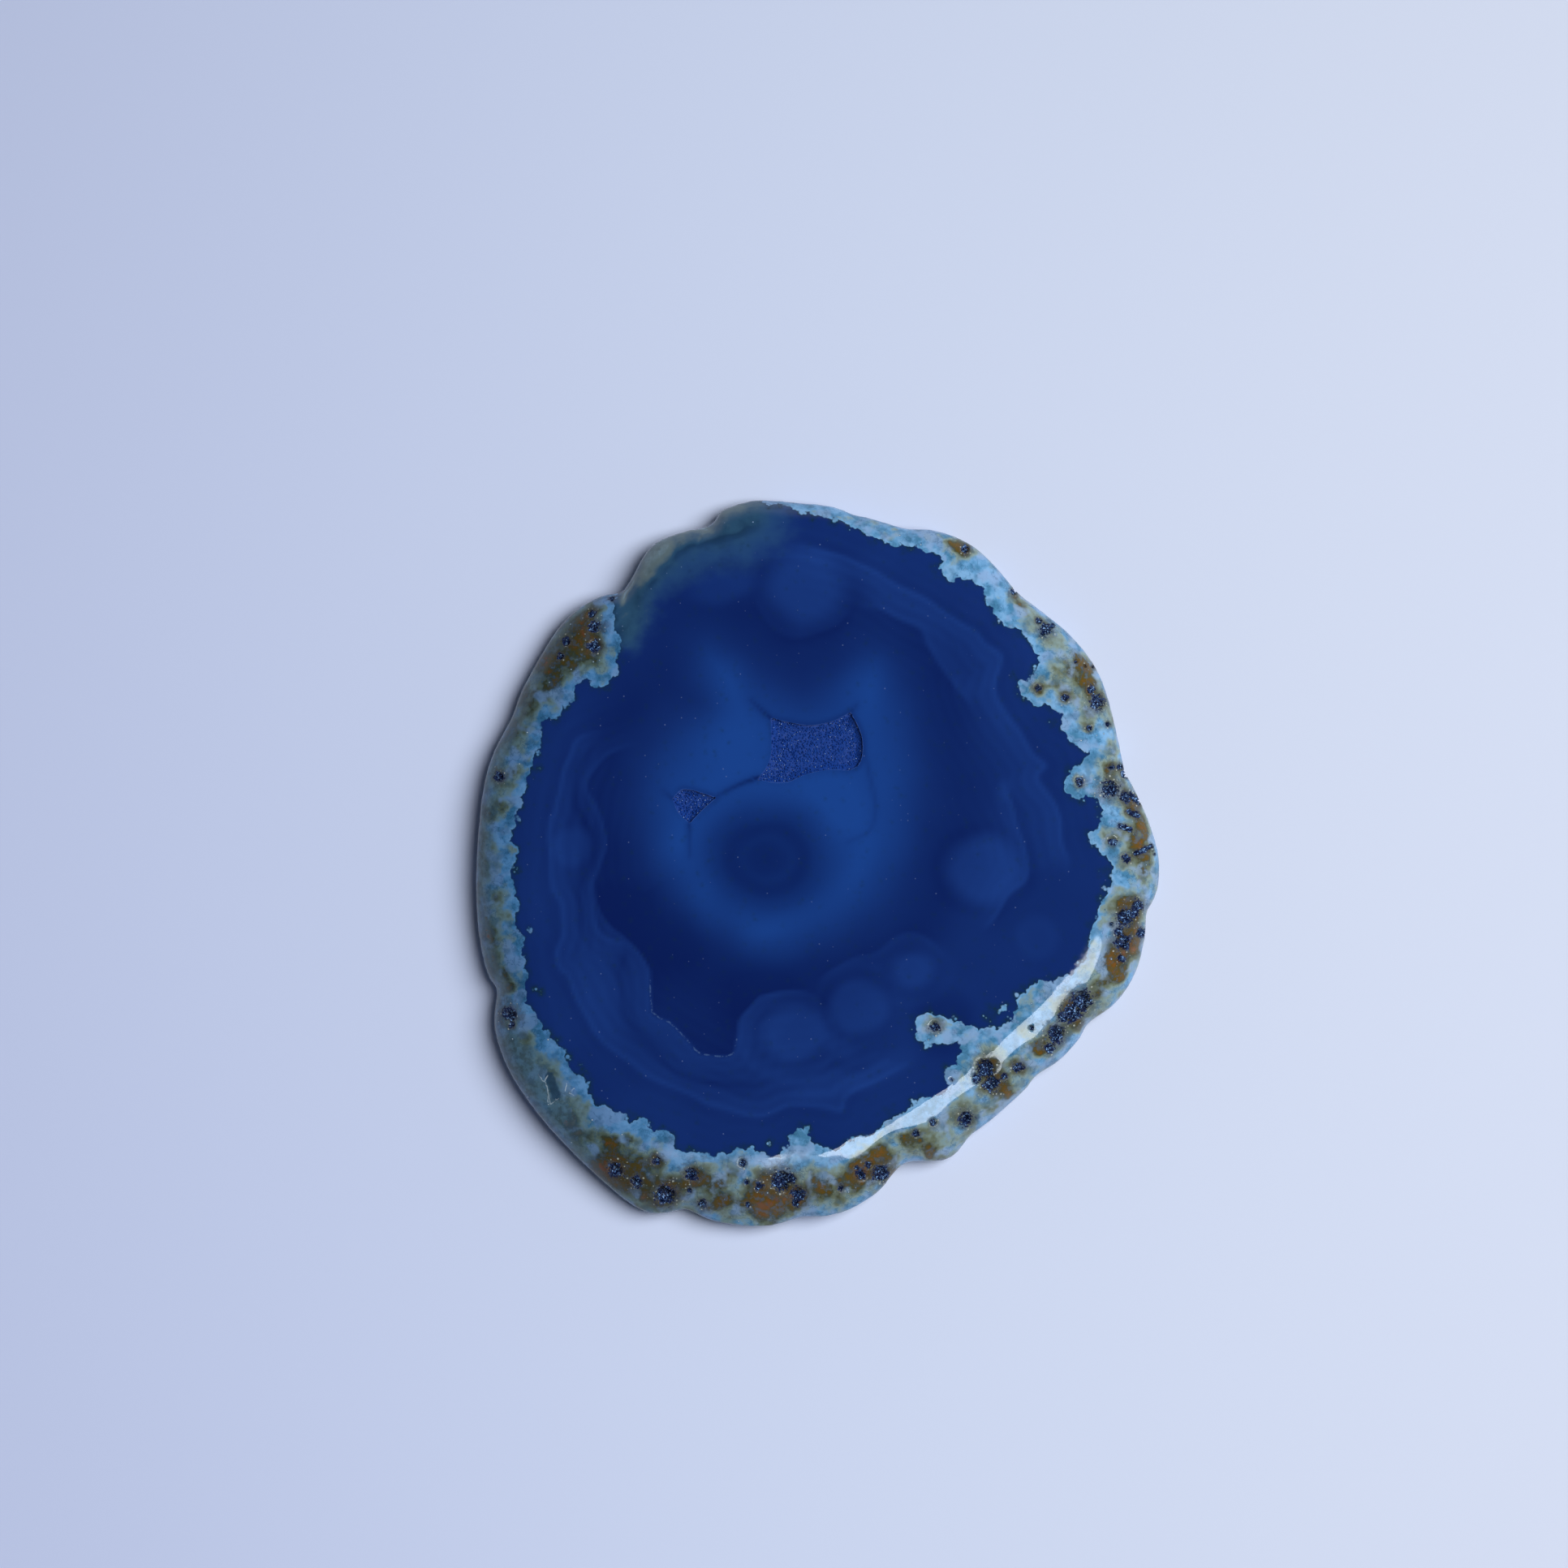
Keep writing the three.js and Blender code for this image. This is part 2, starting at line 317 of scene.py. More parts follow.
def makeFloor():
    bpy.ops.object.select_all(action="DESELECT")
    bpy.ops.mesh.primitive_plane_add(size=studio["floorSize"], location=(0, 0, -studio["floorDrop"]))
    floor = bpy.context.active_object
    floor.name = "floor"
    material, tree, paper = newMaterial("paleCard")
    split = put(tree, "SeparateXYZ", {"Vector": put(tree, "TexCoord").outputs["Object"]})
    half = studio["pictureWidth"] / 2
    across, upward = (
        rise(split.outputs[axis], (middle - half) * mm, (middle + half) * mm, kind="LINEAR")
        for axis, middle in zip("XY", studio["pictureMiddle"])
    )
    # the card's colour across the picture, with its painted light
    card = ramp(across, studio["floorColoursWithPaintedLight"], "B_SPLINE")
    shaded = blend(1.0, card, studio["floorShade"], "MULTIPLY")
    feed(paper.inputs["Base Color"], blend(upward, card, shaded))
    paper.inputs["Roughness"].default_value = studio["floorRoughness"]
    paper.inputs["Specular IOR Level"].default_value = studio["floorSpecular"]
    floor.data.materials.append(material)


makeCamera()
keyLamp, softbox = [makeLamp(*lamp) for lamp in studio["lamps"]]
keyLamp.visible_glossy = False  # it lights the stone, and the softbox is what shines in the polish
softbox.visible_diffuse = False
makeSky()
bpy.context.scene.view_settings.view_transform = "Standard"
makeFloor()
print("camera, lamps, sky and floor made")


# Sums on flat shapes, all in mm
def ease(low, high, value):
    share = np.clip((value - low) / (high - low), 0, 1)
    return share * share * (3 - 2 * share)


def curveThrough(points, pieces=5, closed=False):  # a smooth line through chosen points
    at = np.array(points, float)
    if closed:
        before, here, after, later = np.roll(at, 1, 0), at, np.roll(at, -1, 0), np.roll(at, -2, 0)
    else:
        ends = np.vstack([2 * at[0] - at[1], at, 2 * at[-1] - at[-2]])
        before, here, after, later = ends[:-3], ends[1:-2], ends[2:-1], ends[3:]
    line = []
    for t in np.arange(pieces) / pieces:
        line.append(
            0.5 * (2 * here + t * (after - before) + t**2 * (2 * before - 5 * here + 4 * after - later)
                   + t**3 * (3 * here - before - 3 * after + later))
        )
    line = np.stack(line, 1).reshape(-1, 2)
    return line if closed else np.vstack([line, at[-1:]])


def gapTo(places, x, y):
    return np.hypot(places[:, 0] - x, places[:, 1] - y)


def nearest(places, line, closed=False):
    # distance to a line, + on its left; how far along it, from 0 to its length; and that length
    start = line if closed else line[:-1]
    step = (np.roll(line, -1, 0) if closed else line[1:]) - start
    lengths = np.hypot(step[:, 0], step[:, 1])
    best = np.full(len(places), np.inf)
    side = np.ones(len(places))
    along = np.zeros(len(places))
    travelled = 0.0
    for (x, y), (dx, dy), length in zip(start, step, lengths):
        ox, oy = places[:, 0] - x, places[:, 1] - y
        share = np.clip((ox * dx + oy * dy) / length**2, 0, 1)
        gap = np.hypot(ox - share * dx, oy - share * dy)
        closer = gap < best
        best[closer] = gap[closer]
        side[closer] = np.sign(dx * oy - dy * ox)[closer]
        along[closer] = travelled + length * share[closer]
        travelled += length
    return best * side, along, travelled


def inside(places, line):  # whether each place lies inside a closed line
    x, y = places[:, 0], places[:, 1]
    within = np.zeros(len(places), bool)
    for (ax, ay), (bx, by) in zip(line, np.roll(line, -1, 0)):
        if ay != by:
            crosses = (ay > y) != (by > y)
            within ^= crosses & (x < ax + (bx - ax) * (y - ay) / (by - ay))
    return within


def depthIn(places, line):  # distance to a closed line, + inside it
    distance = np.abs(nearest(places, line, closed=True)[0])
    return np.where(inside(places, line), distance, -distance)


def ripple(places, size, seed, waves=7):  # gentle waves, from -1 to 1, about so many mm long
    random = np.random.default_rng(seed)
    total = np.zeros(len(places))
    for _ in range(waves):
        turn, phase = random.uniform(0, 2 * math.pi, 2)
        length = size * random.uniform(0.7, 1.6)
        along = places[:, 0] * math.cos(turn) + places[:, 1] * math.sin(turn)
        total += np.sin(2 * math.pi * along / length + phase)
    return total / waves * 1.6


def shifts(places, size, seed):  # how far a gentle unrest moves each place, along x and y
    return np.stack([ripple(places, size, seed), ripple(places, size, seed + 1)], 1)


def readVectors(things, name):
    flat = np.empty(3 * len(things), np.float32)
    things.foreach_get(name, flat)
    return flat.reshape(-1, 3).astype(float)


def readPlaces(mesh):
    return readVectors(mesh.vertices, "co") / mm


def readNormals(mesh):
    return readVectors(mesh.vertex_normals, "vector")


def faceCentres(mesh):
    return readVectors(mesh.polygons, "center") / mm


def writePlaces(mesh, places):
    mesh.vertices.foreach_set("co", (places * mm).astype(np.float32).ravel())
    mesh.update()


def storeValue(mesh, name, values):
    attribute = mesh.attributes.new(name, "FLOAT", "POINT")
    attribute.data.foreach_set("value", values.astype(np.float32))


# The hollows, corner to corner, as in the model
hollows = {
    "large_hollow_crystals": [
        [(-5.8, 17.9), (-3.2, 17.3), (-0.8, 17), (1.8, 17.5), (4, 18.6)],
        [(4, 18.6), (5.2, 16.2), (5.5, 14), (5, 12.2), (3.7, 11.5)],
        [(3.7, 11.5), (1.2, 11.6), (-1.6, 11), (-3.6, 10.1), (-5.4, 10), (-7.4, 10.4)],
        [(-7.4, 10.4), (-6.3, 11.9), (-5.7, 13.9), (-5.8, 17.9)],
    ],
    "small_hollow_crystals": [
        [(-17.9, 8), (-16.8, 9.1), (-15.4, 9)],
        [(-15.4, 9), (-13.8, 8.5), (-12.6, 8.1)],
        [(-12.6, 8.1), (-14.2, 6.7), (-15.8, 5)],
        [(-15.8, 5), (-17.2, 6.3), (-17.9, 8)],
    ],
}
hollowLines = {
    name: np.vstack([curveThrough(side, 4)[:-1] for side in sides]) for name, sides in hollows.items()
}

# Where the blue agate meets the rind, going anticlockwise from the end of the clear edge
rimLine = [
    (-25.1, 31.2), (-25.1, 29.4), (-24.5, 27.6), (-24.2, 26.9), (-24.8, 25.9), (-24.3, 23.9), (-25.1, 23.1),
    (-25.8, 22.4), (-26.3, 21.2), (-27.3, 21.6), (-28.6, 22.2), (-29.2, 22.8), (-29.5, 22.1), (-30, 21.6),
    (-29.8, 20.3), (-30.8, 20), (-30.6, 19.3), (-31.5, 19.1), (-32, 18.2), (-32, 17.1), (-33.6, 17.9),
    (-34, 17.1), (-33.8, 16.4), (-34.1, 14.2), (-34.6, 13.4), (-35.3, 13.1), (-35.2, 11.9), (-34.8, 11.2),
    (-35.6, 10.2), (-36.3, 9.4), (-36.8, 7.9), (-36.5, 5.9), (-37.3, 4.9), (-38, 4.4), (-38.1, 2.9),
    (-37, 1.9), (-36.7, 1.4), (-37.4, 0.9), (-37, -0.1), (-37.1, -1.1), (-37.6, -1.6), (-37, -3.1),
    (-37.2, -4.1), (-36.8, -5.1), (-37, -6.1), (-37.6, -6.6), (-37, -8.1), (-35.8, -9.1), (-36.3, -9.6),
    (-36, -11.1), (-36.8, -11.6), (-35.8, -12.6), (-35.6, -13.6), (-35.7, -15.1), (-36.3, -15.8),
    (-35.8, -17.1), (-35.3, -18.1), (-34.8, -19.3), (-33.3, -19.8), (-32.8, -21.1), (-31.8, -22.1),
    (-31, -23.3), (-30.3, -25.1), (-29.3, -25.8), (-28.6, -26.8), (-27.8, -27.6), (-27.7, -29.1),
    (-27.5, -29.8), (-26, -29.9), (-24.6, -30.1), (-24.2, -30.8), (-24.3, -31.6), (-23.3, -31.9),
    (-22.3, -31.1), (-21.3, -31.2), (-21, -32.4), (-20.5, -33.1), (-18.3, -32.6), (-17.8, -33.1),
    (-17.6, -34.1), (-17, -35.4), (-16, -35.8), (-15.8, -35.1), (-14, -35.2), (-13, -35.8), (-12, -36.1),
    (-10.8, -35.6), (-10, -34.8), (-8.8, -34.8), (-7.3, -35.6), (-6.3, -35.8), (-5, -36.1), (-4.3, -35.8),
    (-4, -34.8), (-3.3, -34.1), (-3.1, -33.1), (-2.3, -32.6), (-1.6, -32.3), (-1, -32.8), (-0.5, -33.8),
    (-0.1, -35.4), (1.2, -35.1), (2.2, -34.6), (3.7, -34.4), (4.9, -33.5), (5.7, -33.4), (7.2, -32.6),
    (8.2, -31.6), (9.2, -31.1), (10.2, -31.3), (11, -30.2), (11.7, -29.1), (12.8, -28.8), (14.5, -28.6),
    (15.6, -27.6), (16.1, -26.6), (15.4, -25.3), (15.4, -24.8), (16.7, -25), (17.6, -23.8), (18, -22),
    (16.2, -22.2), (14.9, -22.7), (13.1, -22.7), (12.1, -21.5), (11.4, -19.7), (12.1, -18.4), (13.6, -17.9),
    (15.4, -18.7), (16.9, -19.4), (18.5, -19.2), (19.5, -19.9), (20.8, -20.7), (21.5, -19.4), (22.6, -20.2),
    (23.6, -19.4), (24.6, -18.2), (23.6, -16.6), (24.8, -15.6), (26.4, -15.1), (27.7, -14.3), (29.7, -14.5),
    (31.7, -13.6), (33, -11.8), (33.1, -9.7), (33.5, -8), (34.3, -6.2), (34.5, -4.6), (35.5, -3.6),
    (35.4, -2.6), (36.4, 0.1), (35.4, 0.4), (35.2, 1.4), (34.2, 1.9), (33.2, 2.7), (33, 3.6), (34, 3.9),
    (34.7, 4.9), (34.2, 5.2), (35, 5.9), (34.8, 6.9), (34.4, 7.9), (33.2, 8.2), (32.2, 7.6), (31, 7.9),
    (30.2, 8.9), (30.4, 10.4), (30.7, 11.4), (31.7, 11.9), (32.5, 12.4), (33.2, 13.2), (33.2, 13.9),
    (32.2, 14.2), (31.4, 14.9), (30.5, 15.2), (30.7, 16.1), (29.7, 16.6), (30, 17.4), (30.2, 18.2),
    (28.7, 18.4), (28.2, 18.9), (28, 19.9), (26.4, 19.1), (25.4, 20.2), (24.6, 21.4), (24.4, 21.9),
    (25, 22.8), (26.2, 23.2), (27, 23.6), (27.2, 24.9), (27, 25.9), (26, 27.4), (25.4, 28.2), (24.2, 28.9),
    (22.4, 29.6), (21.8, 30.4), (21.7, 31.2), (21.2, 31.9), (20.2, 33.7), (19.7, 34.2), (18.7, 34.6),
    (18.2, 35.4), (17.5, 35.4), (16.2, 34.6), (15.5, 34.9), (15.2, 35.6), (15.7, 36.4), (15.2, 37.2),
    (14.7, 37.9), (14, 38.4), (11.7, 38.8), (10, 39.2), (9.2, 39.4), (7.4, 39.6), (6.7, 40.2), (5.4, 40.7),
    (4.7, 41.6), (3.2, 42.2), (2.2, 41.6), (1.6, 42.4), (1, 42.9), (-1.3, 42.7), (-1.8, 43.6), (-3.3, 43.9),
    (-4.8, 44.4), (-6.3, 44.4), (-7.8, 44.7), (-9, 47), (-16, 44), (-22, 42.5), (-25.5, 36.5),
]

# Cavities of the rind, as x, y and radius: those that the model has, then the finer ones
modelPits = [
    (-18.9, -40.9, 1.3), (-25, -37.8, 0.95), (-22.4, -39.3, 0.75), (-15.6, -38.3, 0.8), (-4.5, -39.1, 1.25),
    (-2.5, -40.8, 0.9), (5.3, -38.4, 0.75), (7.7, -38.3, 1.1), (18.2, -31.5, 0.95), (20.6, -25.3, 1.1),
    (21.3, -27.1, 1), (29.3, -21, 1.1), (31.3, -18.4, 1.2), (32.5, -17, 1.3), (37.9, -6.6, 1.1),
    (39.4, -5.3, 0.8), (37.6, -9.7, 1), (36.1, 9.2, 1.1), (38, 8.2, 0.8), (34.5, 19.9, 0.9),
    (28.1, 28.9, 0.8), (-27.6, 26.8, 0.8), (-27.6, 29.2, 0.8), (-38, -18.6, 0.9),
]
finePits = [
    (-28, 30.8, 0.5), (-31.1, 27.4, 0.5), (-31.8, 25.6, 0.4), (-25.5, 32.7, 0.3), (-39.4, 10.7, 0.6),
    (-37.8, -19.9, 0.4), (-19.9, -36.6, 0.5), (-15.9, -40.4, 0.3), (-14.4, -42.1, 0.5), (-9.3, -36.9, 0.4),
    (-8.8, -39.3, 0.3), (-7.3, -39.8, 0.5), (-3.3, -38.8, 0.6), (-2.8, -41.9, 0.5), (-8.7, -42.1, 0.3),
    (6.2, -37.2, 0.4), (2.8, -40.1, 0.4), (4.7, -37.6, 0.3), (12, -33.3, 0.4), (14.2, -31.9, 0.4),
    (19.7, -26.4, 0.6), (22.9, -26.3, 0.4), (24.7, -25.2, 0.6), (28.6, -22.8, 0.6), (30.2, -18.9, 0.7),
    (36.2, -7.5, 0.3), (39, -6.2, 0.6), (37.2, -8.4, 0.6), (39.9, -8.6, 0.6), (37.4, -11.8, 0.5),
    (36.3, 2.7, 0.5), (38, 0.6, 0.5), (37.9, 11.1, 0.5), (37.3, 11.9, 0.4), (36.2, 11.9, 0.4),
    (35.8, 17.2, 0.3), (33.4, 16.7, 0.4), (33.7, 21.4, 0.5), (30.4, 20.4, 0.5), (27, 21.6, 0.4),
    (32.2, 10.1, 0.5), (27.3, 29.9, 0.4), (24.2, 33.6, 0.4), (18.2, 38.9, 0.5), (14.4, -20.1, 0.6),
    (31.8, 24.9, 0.2), (33, 24.4, 0.2), (34, 24.3, 0.2), (26.3, -20.2, 0.25), (16.4, -26.6, 0.2),
]
# Cavities that are slots, from end to end
slots = [
    ((27.7, 28.4), (29, 29.4), 0.28), ((39.2, 1.2), (41, 2), 0.3), ((37.3, 4.6), (38.4, 4.2), 0.35),
    ((38.4, 6.4), (39.4, 5.9), 0.35), ((38.6, 8.3), (39.7, 7.6), 0.4), ((41.2, 2.3), (41.6, 1.1), 0.15),
]

# Markings in the stone, each a smooth line through a few points
growth = {
    "baseTone": 0.3,  # 0 is the darkest navy, 1 the palest veil
    "warp": 0.35,  # how far the markings stray from their lines
    "halo": [
        (-13.8, 25.9), (-10.8, 24.9), (-6.8, 21.4), (-1.8, 19.4), (2.7, 21.4), (6.2, 24.9), (8.2, 23.4),
        (10.2, 19.4), (11.7, 11.4), (11.2, 4.4), (8.7, -2.6), (4.2, -6.6), (-2.3, -10.1), (-7.8, -10.1),
        (-13.8, -6.6), (-18.3, -1.6), (-20.8, 5.4), (-20.3, 11.4), (-16.8, 16.4), (-12.8, 19.4),
    ],
    "haloEdge": (-2.8, 4.8),  # where the halo fades out and where it is full, in from its line
    "haloBright": [  # brighter places in it: x, y and radius
        (-10.3, 14.9, 4.2), (2.2, 7.9, 3.4), (-6.8, -7.9, 3.6), (-13.5, -3.6, 3), (-17.6, 2.4, 2.6),
        (-11.6, 22.4, 3), (5.6, 22, 2.8),
    ],
    "disc": (-6.3, 0.6, 8.4, 7.2),  # the dark eye in the halo, with its two radii
    "discRings": [(0, -0.2), (3, 0.45), (6, 0.3)],  # paler rings in the eye: radius and strength
    "darkRing": (0.17, -5.5, 4.2),  # how much darker outside the halo, how far out and how wide
    "rimGlow": (0.05, 3, 3.4),  # how much paler along the rind
    "stripes": (1.5, 5),  # fine bands beside a front: their spacing and reach
    # lines where growth stopped: points, then for the left and for the right of the line the tone gained,
    # how far it reaches and how strong the fine bands are, and last how long the ends fade over
    "fronts": {
        "outerLeft": ([
            (-25.3, 17.4), (-29.3, 15.9), (-30.8, 13.4), (-31.6, 11.4), (-32.3, 8.9), (-32.5, 6.4),
            (-33, 5.4), (-33, -2.6), (-32.8, -3.6), (-32, -5.6), (-31.8, -8.6), (-32.5, -11.6),
            (-31.8, -13.1), (-30.8, -14.1), (-28.8, -18.6), (-26.3, -22.1), (-23.3, -24.6), (-20.8, -26.6),
            (-15.8, -28.6), (-12.8, -30.1), (-8.3, -31.1), (-5.8, -30.8), (-2.8, -29.9), (0.2, -29.9),
            (2.7, -30.6), (3.2, -29.1), (5.2, -27.6), (7.7, -26.6), (11.2, -24.6), (11.7, -24.1),
            (10.2, -23.4),
        ], (0.26, 1.5, 0.08), (-0.1, 1, 0.02), 6),
        "outerRight": ([
            (-4.8, 39.6), (2.2, 38.4), (5.2, 36.9), (9.2, 34.9), (14.2, 31.9), (19.2, 28.9), (20.7, 26.9),
            (22.7, 25.6), (22.7, 23.9), (21.7, 21.4), (23.2, 18.4), (24.7, 16.4), (26.7, 13.4), (28.2, 11.9),
            (27.2, 10.4), (29.2, 7.4), (30.2, 2.4), (31, 0.4), (31.2, -2.6),
        ], (-0.07, 1.2, 0.03), (0.34, 2.2, 0.07), 6),
        "streak": ([
            (4.1, 31.3), (7.4, 31.4), (10, 30.4), (12.4, 28.9), (13.6, 27), (15, 24.8), (16.8, 22.2),
            (18.4, 20), (19.8, 18.4),
        ], (0.34, 1.7, 0.03), (-0.06, 1.2, 0), 4),
        "heart": ([
            (-27.6, 0.4), (-27.3, -2.6), (-26.3, -6.2), (-23.3, -9.6), (-21, -12.6), (-20.5, -14.1),
            (-20.3, -18.1), (-18.3, -19.6), (-15.8, -22.1), (-14.6, -23.3), (-12.3, -23.6), (-10.4, -23.2),
            (-10.1, -21.6), (-10, -19.8), (-9.3, -18.4), (-7.8, -16.6), (-6.3, -16), (-0.8, -16.1),
            (0.2, -18.6),
        ], (-0.24, 8, 0), (0.22, 2.2, 0.05), 9),
        "innerLeft": ([
            (-21.9, 14.4), (-25.7, 13.2), (-27.6, 11.4), (-28.2, 9), (-27.2, 6.7), (-26.4, 4.3), (-26.2, 2),
            (-26.9, -0.4), (-27.6, -2.7), (-27.4, -6), (-26.2, -8.4), (-23.8, -9.8), (-22, -11.6),
        ], (-0.1, 4, 0), (0.2, 0.9, 0.04), 4),
        "heartBand": ([
            (-24.6, -8.2), (-23.9, -10.7), (-24.6, -14.5), (-23.4, -19.2), (-21, -22.4), (-17.7, -25.3),
            (-13.5, -27.2), (-9.3, -27.6), (-5.8, -26.6),
        ], (-0.2, 0.7, 0), (-0.18, 0.8, 0), 4),
        "lowerArc": ([
            (-0.5, -15.7), (0.3, -14.1), (2.2, -12.5), (4.6, -11.7), (7.4, -11.2), (9, -9.2), (11.3, -8.4),
            (13.7, -9), (15.7, -11), (16.7, -12.5),
        ], (-0.08, 1.5, 0), (0.13, 1.6, 0.02), 4),
        "stripRight": ([
            (22.9, 10.4), (24.1, 7.2), (25.2, 3.4), (25.9, 0.1), (25.2, -2.2), (23.4, -4.5), (21.5, -7.4),
            (19.6, -9.2),
        ], (-0.12, 1, 0), (0.32, 1.3, 0.03), 4),
        "gapLeft": ([
            (-26.8, 15), (-29.3, 12.4), (-29.9, 9), (-29.3, 6), (-28.2, 3.4), (-28, 1), (-28.8, -1.4),
            (-29.6, -4), (-28.9, -7.6), (-27, -10.4),
        ], (-0.18, 0.6, 0), (-0.18, 0.7, 0), 4),
        "belowOrb": ([
            (-8.3, 33.9), (-7.3, 30.9), (-5.3, 28.6), (-1.8, 28.1), (0.7, 28.6), (3.2, 30.2), (4.4, 32.4),
        ], (0.1, 2.2, 0), (-0.06, 1.6, 0), 3),
        "aboveLight": ([
            (-16.5, 36.2), (-12.8, 37.2), (-8, 37.6), (-2, 37.4), (4, 36.4),
        ], (0.12, 2, 0), (-0.05, 1.4, 0), 5),
    },
    # the part of the heart's line that shows as dots
    "dottedFront": [
        (-20.5, -14.4), (-20.3, -18.1), (-18.3, -19.6), (-15.8, -22.1), (-14.6, -23.3), (-12.3, -23.6),
        (-10.4, -23.2), (-10.1, -21.6),
    ],
    # round growths: middle, radii, turn in degrees, gain, softness of the edge, gain of a ring round it
    "orbs": [
        (-1.5, 34, 4.4, 4.2, 0, 0.36, 1.7, -0.05), (-12.2, 34.1, 4, 1.7, 12, 0.26, 0.9, 0),
        (20.4, -0.8, 4.3, 4, 0, 0.38, 1.4, -0.05), (22.8, 9, 1, 1.3, -12, 0.2, 0.6, 0),
        (-3.6, -21.4, 6.2, 5.7, 0, 0.12, 0.4, 0), (-2.9, -20.9, 3.9, 3.1, 10, 0.22, 1, -0.1),
        (4.9, -17.4, 5.4, 5.2, 0, 0.1, 0.6, 0), (5, -17.7, 3.5, 3.3, 0, 0.2, 0.9, -0.1),
        (11.8, -13.2, 4.8, 4.4, 0, 0.08, 0.8, 0), (11.7, -13.1, 2.5, 2.1, 0, 0.24, 0.9, -0.08),
        (15.6, -19.8, 3.4, 4.2, 0, -0.16, 1.4, 0), (27, -9.2, 2.4, 2.8, 20, 0.16, 0.8, 0),
        (1.5, -27.3, 4.2, 1.4, 12, 0.2, 0.7, 0), (8.2, -25.4, 4, 1.5, 30, 0.14, 0.9, 0),
        (-30.4, 2, 2, 2.2, 0, 0.2, 0.7, 0), (2.6, -22.4, 2.2, 1.2, -40, 0.16, 0.8, 0),
        (-26.9, -15.2, 2.2, 5.2, 18, 0.2, 1.8, 0), (-24, 21, 4, 6, -20, -0.1, 3, 0),
    ],
    # thin dark seams, with how strong each is
    "seams": [
        ([(-5.8, 17.9), (-7.4, 19.3), (-8.3, 20.2)], 0.8),
        ([(-7.4, 10.6), (-9.3, 9.9), (-10.8, 9.2), (-12.8, 8.1)], 0.9),
        ([(-15.9, 4.8), (-15.9, 2.6), (-15.8, 0.9)], 0.6),
        ([(4, 18.6), (4.8, 19.6)], 0.6),
        ([(5.2, 16.4), (6, 12.4), (7, 7.9), (7, 5.9), (6.2, 3.9), (3.7, 2.7)], 0.4),
        ([(-17.9, 8), (-19.2, 9)], 0.5),
    ],
    # the edge that has no rind and is almost clear
    "clearEdge": [
        (-24.8, 32.9), (-25.1, 30.4), (-24.5, 27.8), (-23.6, 27.4), (-22.6, 28), (-21.8, 29.8), (-21.4, 32.4),
        (-20.3, 34.6), (-18.2, 36.8), (-16.8, 38.3), (-14.8, 39.2), (-12, 39.7), (-8.6, 40.8), (-7, 42.2),
        (-6.4, 46), (-10.8, 47), (-16, 45), (-22, 42), (-25.5, 36),
    ],
    # wisps in it: points, half width, and how much paler
    "wisps": [
        ([(-21.4, 34.6), (-20.6, 36.6), (-19.3, 38.4), (-17.4, 40)], 1.5, 0.85),
        ([(-12.6, 43), (-11, 44), (-8.8, 44.6)], 0.9, 0.62),
        ([(-16.6, 41.2), (-14.8, 41.5), (-13, 41)], 0.42, 0.95),
        ([(-24.4, 31.4), (-24, 32.4), (-23.4, 34), (-22.4, 35.6)], 0.28, 0.95),
        ([(-19.8, 34.6), (-18.9, 36.2), (-17.4, 37.9)], 0.28, 0.5),
        ([(-21.4, 32.9), (-21, 30.4), (-21.3, 27.9), (-21.2, 24.5)], 0.45, 0.32),
        ([(-22.4, 31.4), (-22.8, 29.6), (-23.4, 28)], 0.4, 0.25),
        ([(-15, 38.9), (-14.5, 40.4)], 0.2, 0.6),
        ([
            (-7.4, 41.6), (-8.6, 40.9), (-12, 39.9), (-14.8, 39.3), (-16.8, 38.5), (-18.2, 37), (-19.9, 34.9),
            (-21.3, 33.6),
        ], 0.42, -0.75),
        ([(-23.6, 35), (-22.4, 33.4), (-22.2, 31.8)], 0.7, -0.45),
        ([(-23.5, 30.9), (-24.1, 30.2)], 0.35, 1.3),
        ([(-24, 26.8), (-24.2, 24.4)], 0.5, 0.8),
        ([(-17, 41.2), (-18.6, 40.6), (-21.2, 38.2)], 0.4, 0.35),
        ([(-6.6, 44), (-5, 43.4), (-3, 43.3)], 0.8, -0.5),
    ],
}

